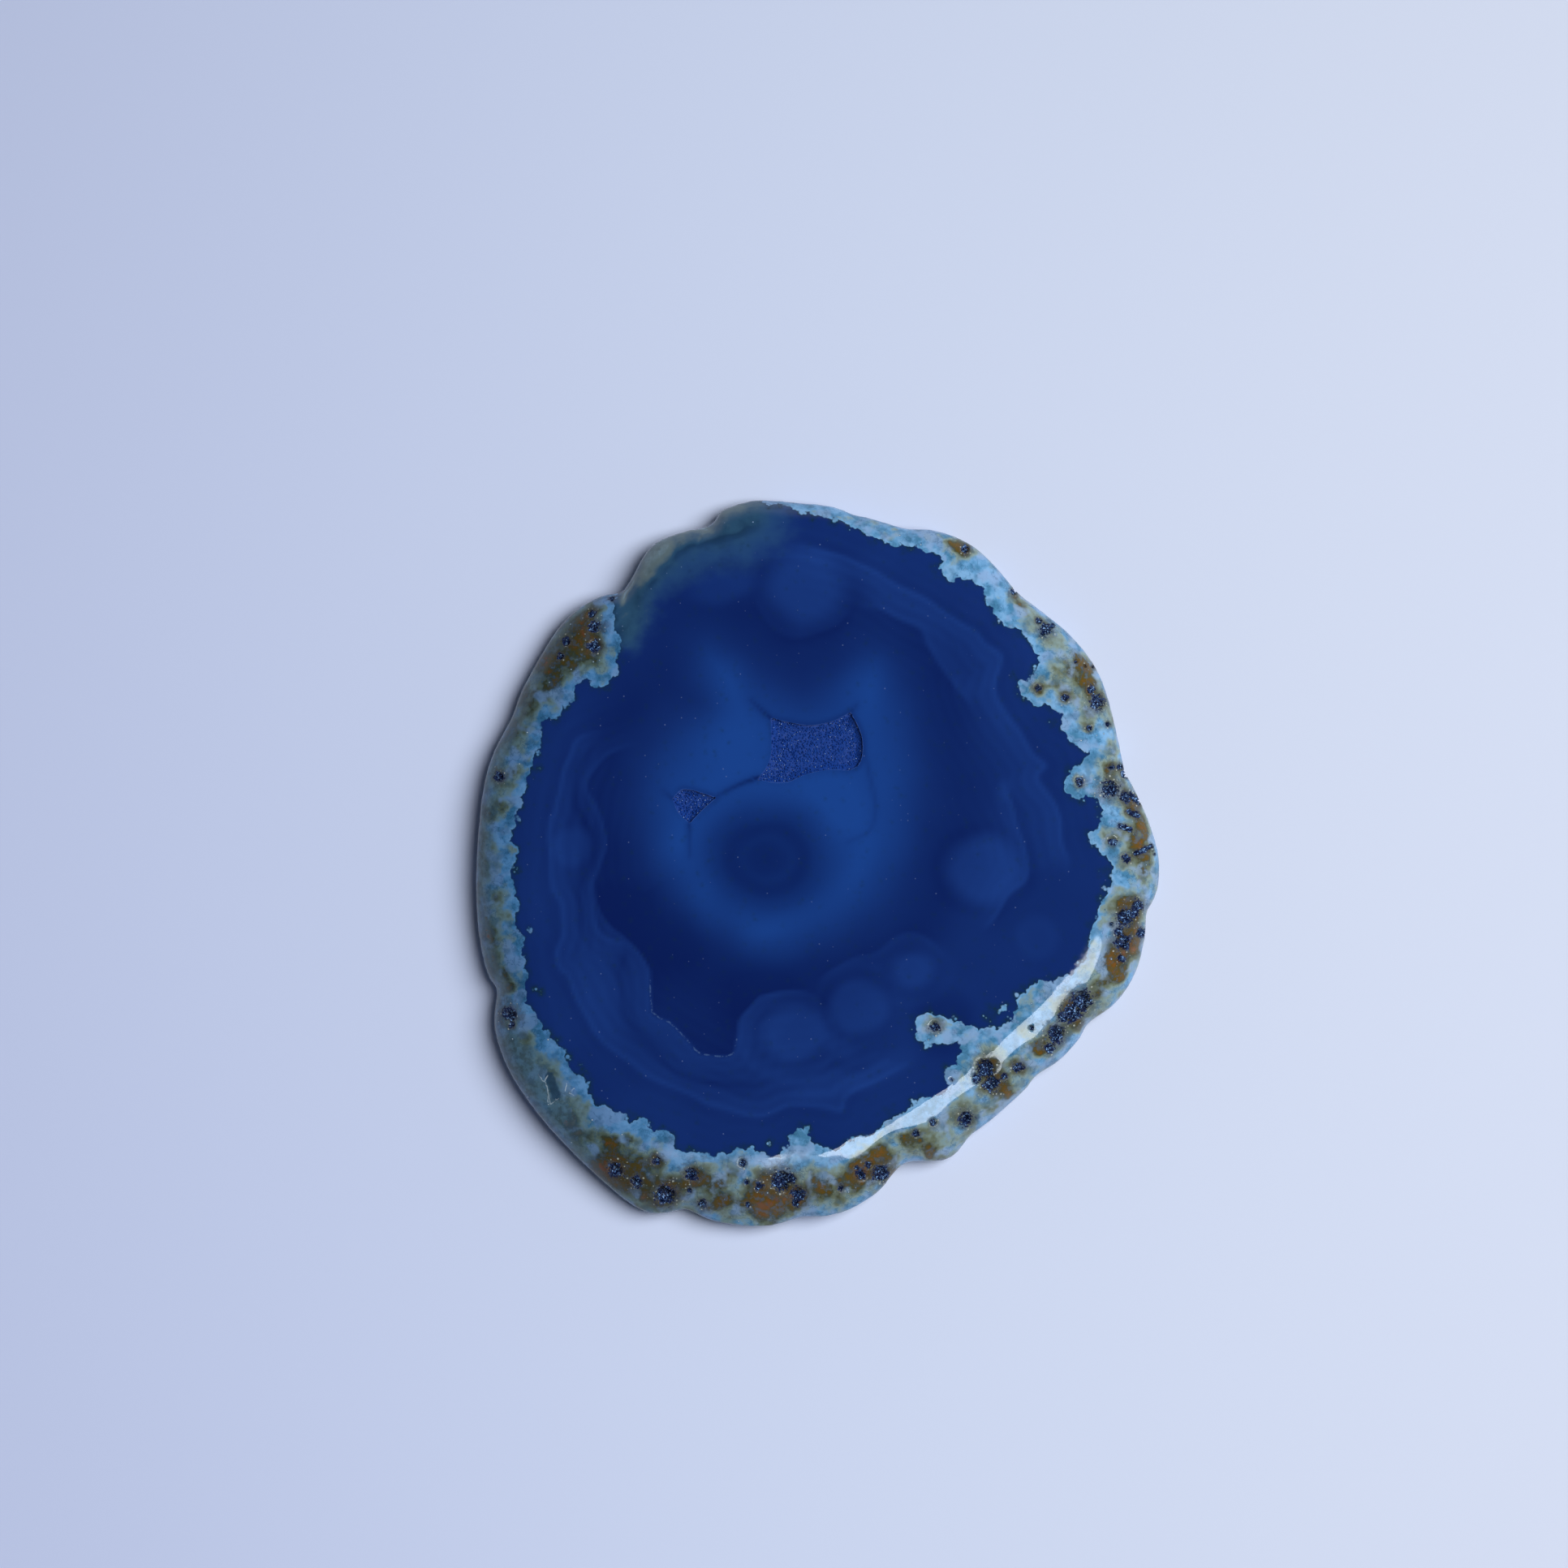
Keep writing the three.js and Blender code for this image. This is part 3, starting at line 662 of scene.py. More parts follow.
# Iron stains in the rind: x, y, radius and strength
stains = [
    (-27.3, 31.9, 1.2, 1.1), (-28.6, 29.9, 1, 0.9), (-30.3, 27.4, 1.3, 0.85), (-28, 27.4, 1, 1),
    (-33.6, 25.6, 0.6, 1.1), (-29.3, 25.9, 2.8, 0.74), (-29.6, 29.2, 2.6, 0.62), (-32.3, 24.4, 2, 0.6),
    (-32.3, 22.4, 0.8, 0.8), (-35.3, 19.2, 0.8, 0.8), (-40.4, 6.1, 0.7, 1), (-38, -15.6, 0.6, 0.9),
    (-41, -6.1, 0.9, 0.75), (-40.9, -8.4, 0.8, 0.7), (-30.5, -31.8, 0.9, 1.1), (-25.5, -34.3, 0.9, 0.9),
    (-23.2, -34, 0.45, 1.2), (-25.3, -37.3, 1.6, 0.9), (-27.3, -37.6, 1.2, 0.95), (-23.3, -39.1, 2.2, 0.85),
    (-19.8, -36.6, 1.1, 0.9), (-15.6, -38.6, 1.4, 1.05), (-17.8, -39.6, 1, 0.9), (-21.3, -41.1, 0.5, 1.1),
    (-13.5, -42.6, 0.8, 1), (-11.8, -41.9, 1, 0.8), (-7.8, -41.6, 2.1, 1), (-6.3, -38.6, 1.5, 0.9),
    (-5.8, -42.6, 2, 0.95), (-2.8, -41.6, 1.5, 0.95), (0.2, -39.8, 0.8, 0.8), (4.7, -38.6, 1.6, 1),
    (5.7, -36.6, 1.2, 0.95), (7.7, -36.1, 1.2, 1), (4.2, -40.1, 1, 0.9), (8.6, -38.2, 1.3, 0.9),
    (11, -34.1, 1.3, 1.05), (14, -35.9, 0.8, 1), (20.5, -25.8, 2, 0.7), (22.4, -27.6, 1.4, 0.8),
    (24.7, -25.1, 1.2, 0.9), (27.4, -22.6, 0.9, 1.05), (29.2, -21.1, 1.4, 0.8), (31.7, -19.8, 1, 1.1),
    (31.7, -17.6, 2.2, 0.75), (34.8, -16.2, 0.5, 0.95), (36.4, -11.6, 1.2, 1.1), (37.2, -13.6, 1.1, 1),
    (38.2, -8.1, 1.6, 1), (39.2, -10.1, 0.8, 0.9), (37.7, -5.6, 1.4, 0.9), (40.4, 1.4, 0.9, 0.95),
    (39.7, 2.9, 1.4, 0.9), (40.7, -0.1, 0.8, 0.9), (38.7, 7.4, 1.3, 0.95), (38, 9.9, 1, 0.8),
    (36.4, 13.9, 0.8, 0.75), (36.4, 11.9, 1, 0.8), (32.2, 10.1, 0.8, 0.8), (33.5, 16.7, 0.6, 0.8),
    (33.2, 21.9, 1.1, 1.05), (31.7, 24.6, 1.4, 1.05), (33.7, 24.2, 0.8, 0.9), (27, 21.6, 0.8, 0.75),
    (30.2, 20.4, 0.8, 0.7), (26, 32.4, 0.8, 0.9), (24.6, 33.8, 0.7, 0.8), (17.7, 39.1, 1.3, 0.95),
    (14.4, -20.2, 1.1, 0.8),
    # unstained places
    (23.7, -23.2, 1.9, -0.55), (27.7, -19.7, 1.8, -0.55), (31.8, -15.2, 1.6, -0.5), (19.2, -26.6, 1.4, -0.4),
    (13.5, -30.5, 1.6, -0.4), (-1.8, -34.6, 1.6, -0.4),
    # broad, faint ones
    (-27, -38.5, 5, 0.17), (-21, -41, 4, 0.14), (-34, 21, 5, 0.3), (-31, 26, 4, 0.26), (-40.8, 5, 4, 0.34),
    (-41.4, -4, 4, 0.34), (-3, -41.5, 5, 0.32), (6, -38, 4, 0.22), (37.5, -8, 4, 0.24), (35, -13, 4, 0.2),
    (39, 3, 4, 0.22), (33, 22, 4, 0.24), (-14, -41, 4, 0.24), (-37, 14, 4, 0.34), (-40, -14, 4, 0.26),
]

# Grains of rind that lie loose in the blue: x, y and radius
looseGrains = [
    (21.6, -18.2, 0.42), (21, -19.2, 0.3), (-5.9, -34.2, 0.34), (35, -1.2, 0.4), (14.7, 36.6, 0.34),
    (-31.2, -23.8, 0.3), (-29.3, -25, 0.26), (-23.3, -31.2, 0.34), (-27.9, -26.5, 0.22), (8.8, -31, 0.3),
    (-29.9, 22.6, 0.3), (24, 22.9, 0.26), (28.9, 17.2, 0.28), (33.9, 2.3, 0.3), (32, -12.6, 0.3),
    (22.9, -17.6, 0.28), (-34.4, 12, 0.26), (-35.6, -8, 0.26), (-34.4, -15.6, 0.3),
]

# White cracks in the rind, from end to end
cracks = [
    ((-34.47, -26.04), (-33.97, -26.82)), ((-33.97, -26.82), (-33.55, -27.1)),
    ((-33.55, -27.1), (-33.35, -28)), ((-33.69, -26.88), (-33.36, -26.16)), ((-33.35, -28), (-33, -29.6)),
    ((-33.35, -28), (-33.3, -29.5)), ((-32.95, -29.7), (-32, -28.93)), ((-30.74, -28.27), (-30, -27.75)),
    ((-31.02, -27.1), (-31.13, -28)), ((-30.69, -28.3), (-29.9, -28.7)),
]
glassySpot = [((-33.1, -26.3), (-32.3, -28.6))]  # a clear streak beside them

# The stone's mesh
stone = {
    "spacing": 0.40,  # between its points, halved over the rind
    "easing": 60,  # rounds that take the facets out of the shoulder
    "fineEasing": 4,
    "undersideHalvings": 4,
    "hollowFloor": 4.5,
    "lipWidth": 0.9,  # points so near a hollow's edge are lifted to the face again
    "keepRound": 0.8,  # how far round a hollow the points stay where they are
    "fineRind": 0.95,  # how far to either side of the rind's edge the mesh is finer
    "fineCavity": 1.9,  # and how far round a cavity, in radii
    "coarseBelow": 1.2,  # height under which it stays coarse
    "pitDepth": 0.304,  # of the fine cavities
    "pitGrain": 0.16,  # how rough a cavity's wall is
    "grainSize": 0.55,
    "rimWander": 0.35,  # how unevenly round a cavity is, as a share of its radius
    "rindRoughness": 0.14,  # lumps on the unpolished skin below the widest line
    "rindLump": 1.7,
    "skinTop": 2.8,  # height where the skin gives way to the polished shoulder
    "smoothBelow": 50,  # degrees between two faces
    "wallPoints": 2700,  # quartz points in the cavities
    "pointSeed": 31,
    "pointsWithin": 0.86,  # as a share of the cavity's radius
    "pointsAbove": 2.2,
    "pointsTop": 0.02,  # how far they stay under the face
    "pointRadius": (0.09, 0.17),
    "pointHeight": (0.20, 0.42),
    "pointRoot": 0.06,  # how far it stands in the wall
    "pointSides": 5,
    "pointLean": 0.35,
    # the shoulder in the model: the widest line's height, its way in from there, its first fall in degrees
    "shoulder": (2.6, 6.4, 9),
    # where the shoulder starts sooner: azimuth, half widths in degrees to either side, by how much, and
    # over what way in this sets in
    "softShoulder": (-96.5, 27, 12.5, 2.2, 2.6),
    "outlineParts": 240,  # into which the outline is divided, to find its outermost points
}


def editSelected(piece, faces):  # goes into edit mode with these faces selected
    selectOnly(piece)
    bpy.ops.object.mode_set(mode="EDIT")
    bpy.ops.mesh.select_mode(type="FACE")
    bpy.ops.mesh.select_all(action="DESELECT")
    bpy.ops.object.mode_set(mode="OBJECT")
    piece.data.polygons.foreach_set("select", faces)
    bpy.ops.object.mode_set(mode="EDIT")


def relax(mesh, places, free, rounds):
    # each point moves towards its neighbours and then half as far back, so that the form keeps its size
    ends = np.empty(2 * len(mesh.edges), np.int32)
    mesh.edges.foreach_get("vertices", ends)
    first, second = ends.reshape(-1, 2).T
    count = len(places)
    neighbours = np.bincount(first, minlength=count) + np.bincount(second, minlength=count)
    for _ in range(rounds):
        for push in (0.5, -0.51):
            middle = np.empty_like(places)
            for axis in range(3):
                middle[:, axis] = np.bincount(first, places[second, axis], count)
                middle[:, axis] += np.bincount(second, places[first, axis], count)
            middle /= neighbours[:, None]
            places += push * free[:, None] * (middle - places)
    return places


def pitReach(places):
    # 0 at the middle of a cavity and 1 at its edge, for the fine cavities and for those of the model
    reach, sunk = np.full(len(places), 9.0), np.full(len(places), 9.0)
    for x, y, radius in finePits:
        reach = np.minimum(reach, gapTo(places, x, y) / radius)
    for start, end, radius in slots:
        gap = np.abs(nearest(places, np.array([start, end], float))[0])
        reach = np.minimum(reach, gap / radius)
    for x, y, radius in modelPits:
        sunk = np.minimum(sunk, gapTo(places, x, y) / radius)
    return reach, sunk


def copyNode(node, name):  # a loose copy, with its doubled points merged
    selectOnly(frame["nodes"][node])
    bpy.ops.object.duplicate()
    piece = bpy.context.active_object
    piece.name = name
    piece.data.name = name
    bpy.ops.object.parent_clear(type="CLEAR_KEEP_TRANSFORM")
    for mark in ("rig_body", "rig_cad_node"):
        del piece[mark]
    bpy.ops.object.mode_set(mode="EDIT")
    bpy.ops.mesh.select_all(action="SELECT")
    bpy.ops.mesh.remove_doubles(threshold=1e-7)
    bpy.ops.object.mode_set(mode="OBJECT")
    return piece


def joinNew(piece, name, points, faces, **values):  # makes faces and joins them to a piece
    mesh = bpy.data.meshes.new(name)
    mesh.from_pydata([tuple(point * mm) for point in points], [], faces)
    for key, value in values.items():
        storeValue(mesh, key, value)
    extra = bpy.data.objects.new(name, mesh)
    bpy.context.collection.objects.link(extra)
    selectOnly(piece)
    extra.select_set(True)
    bpy.ops.object.join()


def nearHollow(places, margin):
    return np.logical_or.reduce([depthIn(places, line) > -margin for line in hollowLines.values()])


def outlineOf(places):  # the slice's own outline, from above, through its outermost points
    count = stone["outlineParts"]
    turn = np.arctan2(places[:, 1], places[:, 0])
    slot = ((turn / (2 * math.pi)) % 1 * count).astype(int) % count
    out = gapTo(places, 0, 0)
    ring = []
    for i in range(count):
        here = np.flatnonzero(slot == i)
        ring.append(places[here[np.argmax(out[here])], :2])
    return curveThrough(ring, 2, closed=True)


rimPoints = np.array(rimLine, float)
rimPoints = 0.5 * rimPoints + 0.25 * np.roll(rimPoints, 1, 0) + 0.25 * np.roll(rimPoints, -1, 0)
rimPath = curveThrough(rimPoints, 2, closed=True)
clearPath = curveThrough(growth["clearEdge"], closed=True)
haloPath = curveThrough(growth["halo"], closed=True)


def shoulderHeight(depth):  # the model's rounding, so far in from the widest line
    low, inset, start = stone["shoulder"]
    first = math.sin(math.radians(start))
    across = np.clip(1 - depth / inset * (1 - first), first, 1)
    return low + (faceHeight - low) * np.sqrt((1 - across**2) / (1 - first**2))


def shoulderDrop(places):  # how much lower the stone is where its shoulder starts sooner
    azimuth, before, after, shift, fadeIn = stone["softShoulder"]
    depth = depthIn(places, outlineOf(places))
    turn = (np.degrees(np.arctan2(places[:, 1], places[:, 0])) - azimuth + 180) % 360 - 180
    shift = shift * np.exp(-((turn / np.where(turn < 0, before, after)) ** 2))
    shift *= 1 - np.exp(-np.maximum(depth, 0) / fadeIn)
    return (shoulderHeight(depth) - shoulderHeight(depth - shift)) * ease(3, 4, places[:, 2])


def easeShoulder(mesh):  # the faces keep their flatness; the shoulder and the foot lose their facets
    places = readPlaces(mesh)
    places[:, 2] -= shoulderDrop(places)
    height = places[:, 2]
    flat = (height > faceHeight - 0.01) | (height < 0.01)
    sunk = pitReach(places)[1] < 1.15
    free = np.where(flat | sunk | nearHollow(places, stone["keepRound"]), 0.0, 1.0)
    places[height > faceHeight - 0.003, 2] = faceHeight
    places[height < 0.003, 2] = 0
    writePlaces(mesh, relax(mesh, places, free, stone["easing"]))


def makeFiner(piece):  # coarser underneath, finer over the rind and round the hollows
    mesh = piece.data
    editSelected(piece, faceCentres(mesh)[:, 2] < 0.05)
    bpy.ops.mesh.unsubdivide(iterations=stone["undersideHalvings"])
    bpy.ops.object.mode_set(mode="OBJECT")
    centres = faceCentres(mesh)
    fine = np.abs(depthIn(centres, rimPath)) < stone["fineRind"]
    fine |= depthIn(centres, clearPath) > -1
    fine |= (np.minimum(*pitReach(centres)) < stone["fineCavity"]) | nearHollow(centres, 0.5)
    fine &= centres[:, 2] > stone["coarseBelow"]
    editSelected(piece, fine)
    bpy.ops.mesh.subdivide(number_cuts=1)
    bpy.ops.object.mode_set(mode="OBJECT")
    places = readPlaces(mesh)
    flat = (places[:, 2] > faceHeight - 0.003) | (places[:, 2] < 0.01)
    free = np.where(flat | (pitReach(places)[1] < 1.0) | nearHollow(places, stone["keepRound"]), 0.0, 1.0)
    writePlaces(mesh, relax(mesh, places, free, stone["fineEasing"]))


def sharpenHollows(places):  # their edges, crisp again
    for line in hollowLines.values():
        depth = depthIn(places, line)
        high = places[:, 2] > stone["hollowFloor"] + 0.1
        lip = (np.abs(depth) < stone["lipWidth"]) & (depth <= 0.03) & (places[:, 2] > faceHeight - 0.5)
        places[lip, 2] = faceHeight
        places[(depth > 0.03) & high, 2] = stone["hollowFloor"]


def roughen(places, normals):  # the cavities, and the lumpy skin under the widest line
    reach, sunk = pitReach(places)
    upper = places[:, 2] > 1.5
    for i in np.flatnonzero(upper & ((reach < 1.4) | (sunk < 1.2))):
        grain = noise.noise(Vector(places[i]) / stone["grainSize"])
        edge = min(reach[i], sunk[i]) + stone["rimWander"] * noise.noise(Vector(places[i]) / 0.8)
        bowl = 1 - float(ease(0.55, 1.15, edge))  # 1 on a cavity's floor, 0 outside it
        depth = 0 if sunk[i] < reach[i] else stone["pitDepth"] * bowl
        places[i] -= normals[i] * (depth + stone["pitGrain"] * bowl * (0.5 + grain))
    skin = 1 - ease(stone["skinTop"] - 1.2, stone["skinTop"], places[:, 2])
    skin *= ease(0.0, 0.6, places[:, 2])
    for i in np.flatnonzero(skin > 0.01):
        lump = noise.noise(Vector(places[i]) / stone["rindLump"]) + 0.5 * noise.noise(Vector(places[i]) / 0.6)
        places[i] -= normals[i] * stone["rindRoughness"] * skin[i] * (0.55 + lump)


def growPoints(piece):  # small quartz points on the walls of the cavities, joined to the stone
    random = np.random.default_rng(stone["pointSeed"])
    places, normals = readPlaces(piece.data), readNormals(piece.data)
    wall = (np.minimum(*pitReach(places)) < stone["pointsWithin"]) & (places[:, 2] > stone["pointsAbove"])
    wall = random.permutation(np.flatnonzero(wall))[: stone["wallPoints"]]
    count, sides = len(wall), stone["pointSides"]
    axis = normals[wall] + random.normal(0, stone["pointLean"], (count, 3))
    axis /= np.linalg.norm(axis, axis=1)[:, None]
    first = np.cross(axis, random.normal(0, 1, (count, 3)))
    first /= np.linalg.norm(first, axis=1)[:, None]
    second = np.cross(axis, first)
    root = places[wall] - stone["pointRoot"] * axis
    radius = random.uniform(*stone["pointRadius"], (count, 1))
    corners = [root + axis * random.uniform(*stone["pointHeight"], (count, 1))]
    for i in range(sides):
        turn = 2 * math.pi * i / sides
        corners.append(root + radius * (math.cos(turn) * first + math.sin(turn) * second))
    points = np.stack(corners, 1).reshape(-1, 3)
    points[:, 2] = np.minimum(points[:, 2], faceHeight - stone["pointsTop"])
    tips = range(0, len(points), sides + 1)
    faces = [(tip, tip + 1 + i, tip + 1 + (i + 1) % sides) for tip in tips for i in range(sides)]
    joinNew(piece, "cavityPoints", points, faces)


def makeStone():
    piece = copyNode("slice", "agate_slice")
    mesh = piece.data
    remesh = piece.modifiers.new("remesh", "REMESH")
    remesh.mode = "VOXEL"
    remesh.voxel_size = stone["spacing"] * mm
    selectOnly(piece)
    bpy.ops.object.modifier_apply(modifier=remesh.name)
    easeShoulder(mesh)
    makeFiner(piece)
    places, normals = readPlaces(mesh), readNormals(mesh)
    sharpenHollows(places)
    roughen(places, normals)
    writePlaces(mesh, places)
    selectOnly(piece)
    bpy.ops.object.shade_smooth_by_angle(angle=math.radians(stone["smoothBelow"]))
    growPoints(piece)
    return piece


# The markings, as values on the stone's points
def toneOf(places):  # how pale the blue is
    warped = places[:, :2] + growth["warp"] * shifts(places, 6, 3)
    tone = np.full(len(places), growth["baseTone"])
    tone += 0.05 * ripple(places, 16, 5) + 0.02 * ripple(places, 5, 6)
    gain, middle, width = growth["darkRing"]
    tone -= gain * np.exp(-(((depthIn(warped, haloPath) - middle) / width) ** 2))
    gain, middle, width = growth["rimGlow"]
    tone += gain * np.exp(-(((depthIn(places, rimPath) - middle) / width) ** 2))
    spacing, farthest = growth["stripes"]
    for points, left, right, fade in growth["fronts"].values():
        distance, along, length = nearest(warped, curveThrough(points))
        ends = ease(0, fade, along) * ease(0, fade, length - along)
        onLeft = ease(-0.35, 0.35, distance)
        away = np.abs(distance)
        wave = np.sin(2 * math.pi * away / spacing + 1) * np.exp(-away / farthest)
        for (gain, reach, bands), share in ((left, onLeft), (right, 1 - onLeft)):
            tone += ends * share * (gain * np.exp(-away / reach) + bands * wave)
    for x, y, wide, tall, turn, gain, soft, ring in growth["orbs"]:
        c, s = math.cos(math.radians(turn)), math.sin(math.radians(turn))
        u, v = warped[:, 0] - x, warped[:, 1] - y
        reach = np.hypot((u * c + v * s) / wide, (v * c - u * s) / tall)
        over = (reach - 1) * min(wide, tall)
        tone += gain * (1 - ease(-soft, soft, over)) * (0.85 + 0.15 * reach)
        tone += ring * ease(-soft, soft, over) * (1 - ease(soft, soft + 1.4, over))
    return tone


def haloOf(places):  # how strongly the clear bright blue shows, and the dark eye in it
    warped = places[:, :2] + 0.3 * shifts(places, 7, 8)
    depth = depthIn(warped, haloPath)
    halo = 0.70 * ease(*growth["haloEdge"], depth)
    halo += 0.08 * ease(-9, 0, depth)
    for x, y, radius in growth["haloBright"]:
        halo += 0.26 * np.exp(-((warped[:, 0] - x) ** 2 + (warped[:, 1] - y) ** 2) / radius**2)
    x, y, wide, tall = growth["disc"]
    reach = np.hypot((warped[:, 0] - x) / wide, (warped[:, 1] - y) / tall)
    eye = 1 - ease(0.5, 1.32, reach)
    for radius, gain in growth["discRings"]:
        eye -= 0.2 * gain * np.exp(-(((reach * wide - radius) / 0.8) ** 2))
    halo += 0.14 * np.exp(-(((reach - 1.45) / 0.25) ** 2)) * ease(0, 5, depth)
    return np.clip(halo * (1 - 0.82 * eye), 0, 1.3), eye


def seamAndHollowShadeOf(places):  # how strongly the dark seams show, and the painted shade round each hollow
    seamAndShade = np.zeros(len(places))
    for points, strength in growth["seams"]:
        distance, along, length = nearest(places, curveThrough(points))
        thin = strength * np.exp(-((distance / 0.28) ** 2))
        thin += 0.35 * strength * np.exp(-((distance / 0.8) ** 2))
        seamAndShade = np.maximum(seamAndShade, thin * (1 - 0.5 * along / length))
    for line in hollowLines.values():  # painted shade: a dark line along each hollow's edge, strongest on its upper right, where the wall there is in shade from the key lamp
        depth = depthIn(places, line)
        x, y = (places[:, :2] - line.mean(0)).T
        strength = 0.16 + 0.40 * ease(-2, 3, y + 0.6 * x)
        seamAndShade = np.maximum(seamAndShade, strength * np.exp(-(((depth + 0.15) / 0.4) ** 2)))
    return seamAndShade


def wispOf(places):  # how much paler the clear edge is
    warped = places[:, :2] + 0.2 * shifts(places, 2.5, 14)
    wisp = np.zeros(len(places))
    for points, width, gain in growth["wisps"]:
        distance, along, length = nearest(warped, curveThrough(points))
        ends = 0.3 + 0.7 * ease(0, 1.5, along) * ease(0, 1.5, length - along)
        wisp += gain * ends * np.exp(-((distance / width) ** 2))
    return wisp


def stainOf(places):  # how strongly iron has stained the rind
    warped = places[:, :2] + 0.35 * shifts(places, 2.2, 12)
    clean = np.ones(len(places))
    for x, y, radius, strength in stains:
        reach = gapTo(warped, x, y) / radius
        clean *= 1 - strength / 1.25 * (1 - ease(0.35, 1.75, reach))
    return 1 - clean


def rimDepthOf(places):  # how far into the rind, with the loose grains of it that lie in the blue
    depth = -depthIn(places, rimPath)
    for x, y, radius in looseGrains:
        gap = gapTo(places, x, y) - radius
        # never so deep that it counts as a grain all over: the scallops eat into it
        depth = np.maximum(depth, np.where(gap < 1, np.minimum(-gap, -0.04), -1))
    return depth


def storeMarkings(mesh):
    places = readPlaces(mesh)
    halo, eye = haloOf(places)
    reach, sunk = pitReach(places)
    markings = {
        "rimDepth": rimDepthOf(places),
        "edgeDepth": depthIn(places, outlineOf(places)),
        "hollowDepth": np.maximum.reduce([depthIn(places, line) for line in hollowLines.values()]),
        "clearDepth": depthIn(places, clearPath),
        "tone": toneOf(places) - 0.30 * eye,
        "halo": halo,
        "seamAndShade": seamAndHollowShadeOf(places),
        "wisp": wispOf(places),
        "stain": stainOf(places),
        "pitReach": np.minimum(reach, sunk * 1.05),
    }
    for name, values in markings.items():
        storeValue(mesh, name, values)


# The stone's finish. Colours are as seen under the studio's light.
agate = {
    "navy": (0.0026, 0.0119, 0.091),
    "veil": (0.0120, 0.0505, 0.236),
    "bright": (0.0095, 0.0545, 0.254),
    "rimShade": (0.006, 0.026, 0.048),
    "clearBlue": (0.0200, 0.0700, 0.168),
    "clearDark": (0.010, 0.036, 0.075),
    "clearTeal": (0.024, 0.076, 0.138),
    "clearGrey": (0.118, 0.168, 0.172),
    "clearPale": (0.210, 0.320, 0.390),
    "milk": (0.195, 0.400, 0.630),
    "sky": (0.112, 0.300, 0.510),
    "turquoise": (0.062, 0.205, 0.345),
    "tealVein": (0.022, 0.085, 0.160),
    "lavender": (0.235, 0.365, 0.570),
    "sage": (0.215, 0.300, 0.275),
    "khaki": (0.135, 0.165, 0.110),
    "olive": (0.062, 0.068, 0.036),
    "ochre": (0.108, 0.070, 0.012),
    "orange": (0.185, 0.074, 0.016),
    "ember": (0.138, 0.045, 0.021),
    "ash": (0.130, 0.150, 0.205),
    "teal": (0.022, 0.100, 0.185),
    "soil": (0.050, 0.046, 0.030),
    "chalk": (0.58, 0.68, 0.72),
    "cream": (0.42, 0.46, 0.40),
    "cavity": (0.004, 0.009, 0.045),
    "cavityBlue": (0.028, 0.066, 0.185),
    # painted glints in the cavities, and the colour of the dotted front's dots
    "glint": (0.210, 0.390, 0.660),
    "skin": (0.155, 0.275, 0.345),
    "skinDark": (0.086, 0.142, 0.168),
    # painted shade for the rind's left side, which is turned away from the key lamp
    "leftPaintedShade": (0.48, 0.60, 0.72),
    "dust": (0.40, 0.55, 0.85),
    # painted light: the hollows' walls are a paler blue than the stone, lifting the shade that falls on them
    "wall": (0.012, 0.062, 0.285),
    # noise in the rind: size, detail, roughness
    "broad": (3.4, 2.0, 0.5),
    "patchy": (1.7, 2.0, 0.5),
    "fine": (0.8, 3.0, 0.6),
    "grit": (0.3, 2.0, 0.6),
    # from milky rind to rust: where each colour sets in, where it is full
    "rustSteps": [
        (0.06, 0.40, "sage"), (0.34, 0.62, "khaki"), (0.58, 0.82, "olive"), (0.80, 1.02, "ochre"),
        (1.04, 1.50, "orange"),
    ],
    # clouds of clear quartz over it: offset, size, where they set in and are full, strength
    "quartzClouds": [
        ((-7.0, 43.0, 2.0), 2.4, 0.50, 0.64, 0.68, "lavender"),
        ((12.0, -29.0, 9.0), 1.6, 0.52, 0.68, 0.40, "teal"),
    ],
    # specks: spacing, size, and the share of the places that have one
    "dustSpecks": (0.9, 0.08, 0.42),
    "darkSpecks": (0.9, 0.15, 0.28),
    "whiteSpecks": (0.9, 0.09, 0.26),
    "cavityGrains": (0.40, 0.12, 0.45),
    "roughness": 0.05,
    "index": 1.54,
    "bump": 0.6,
    "bumpDepth": 0.00012,
}


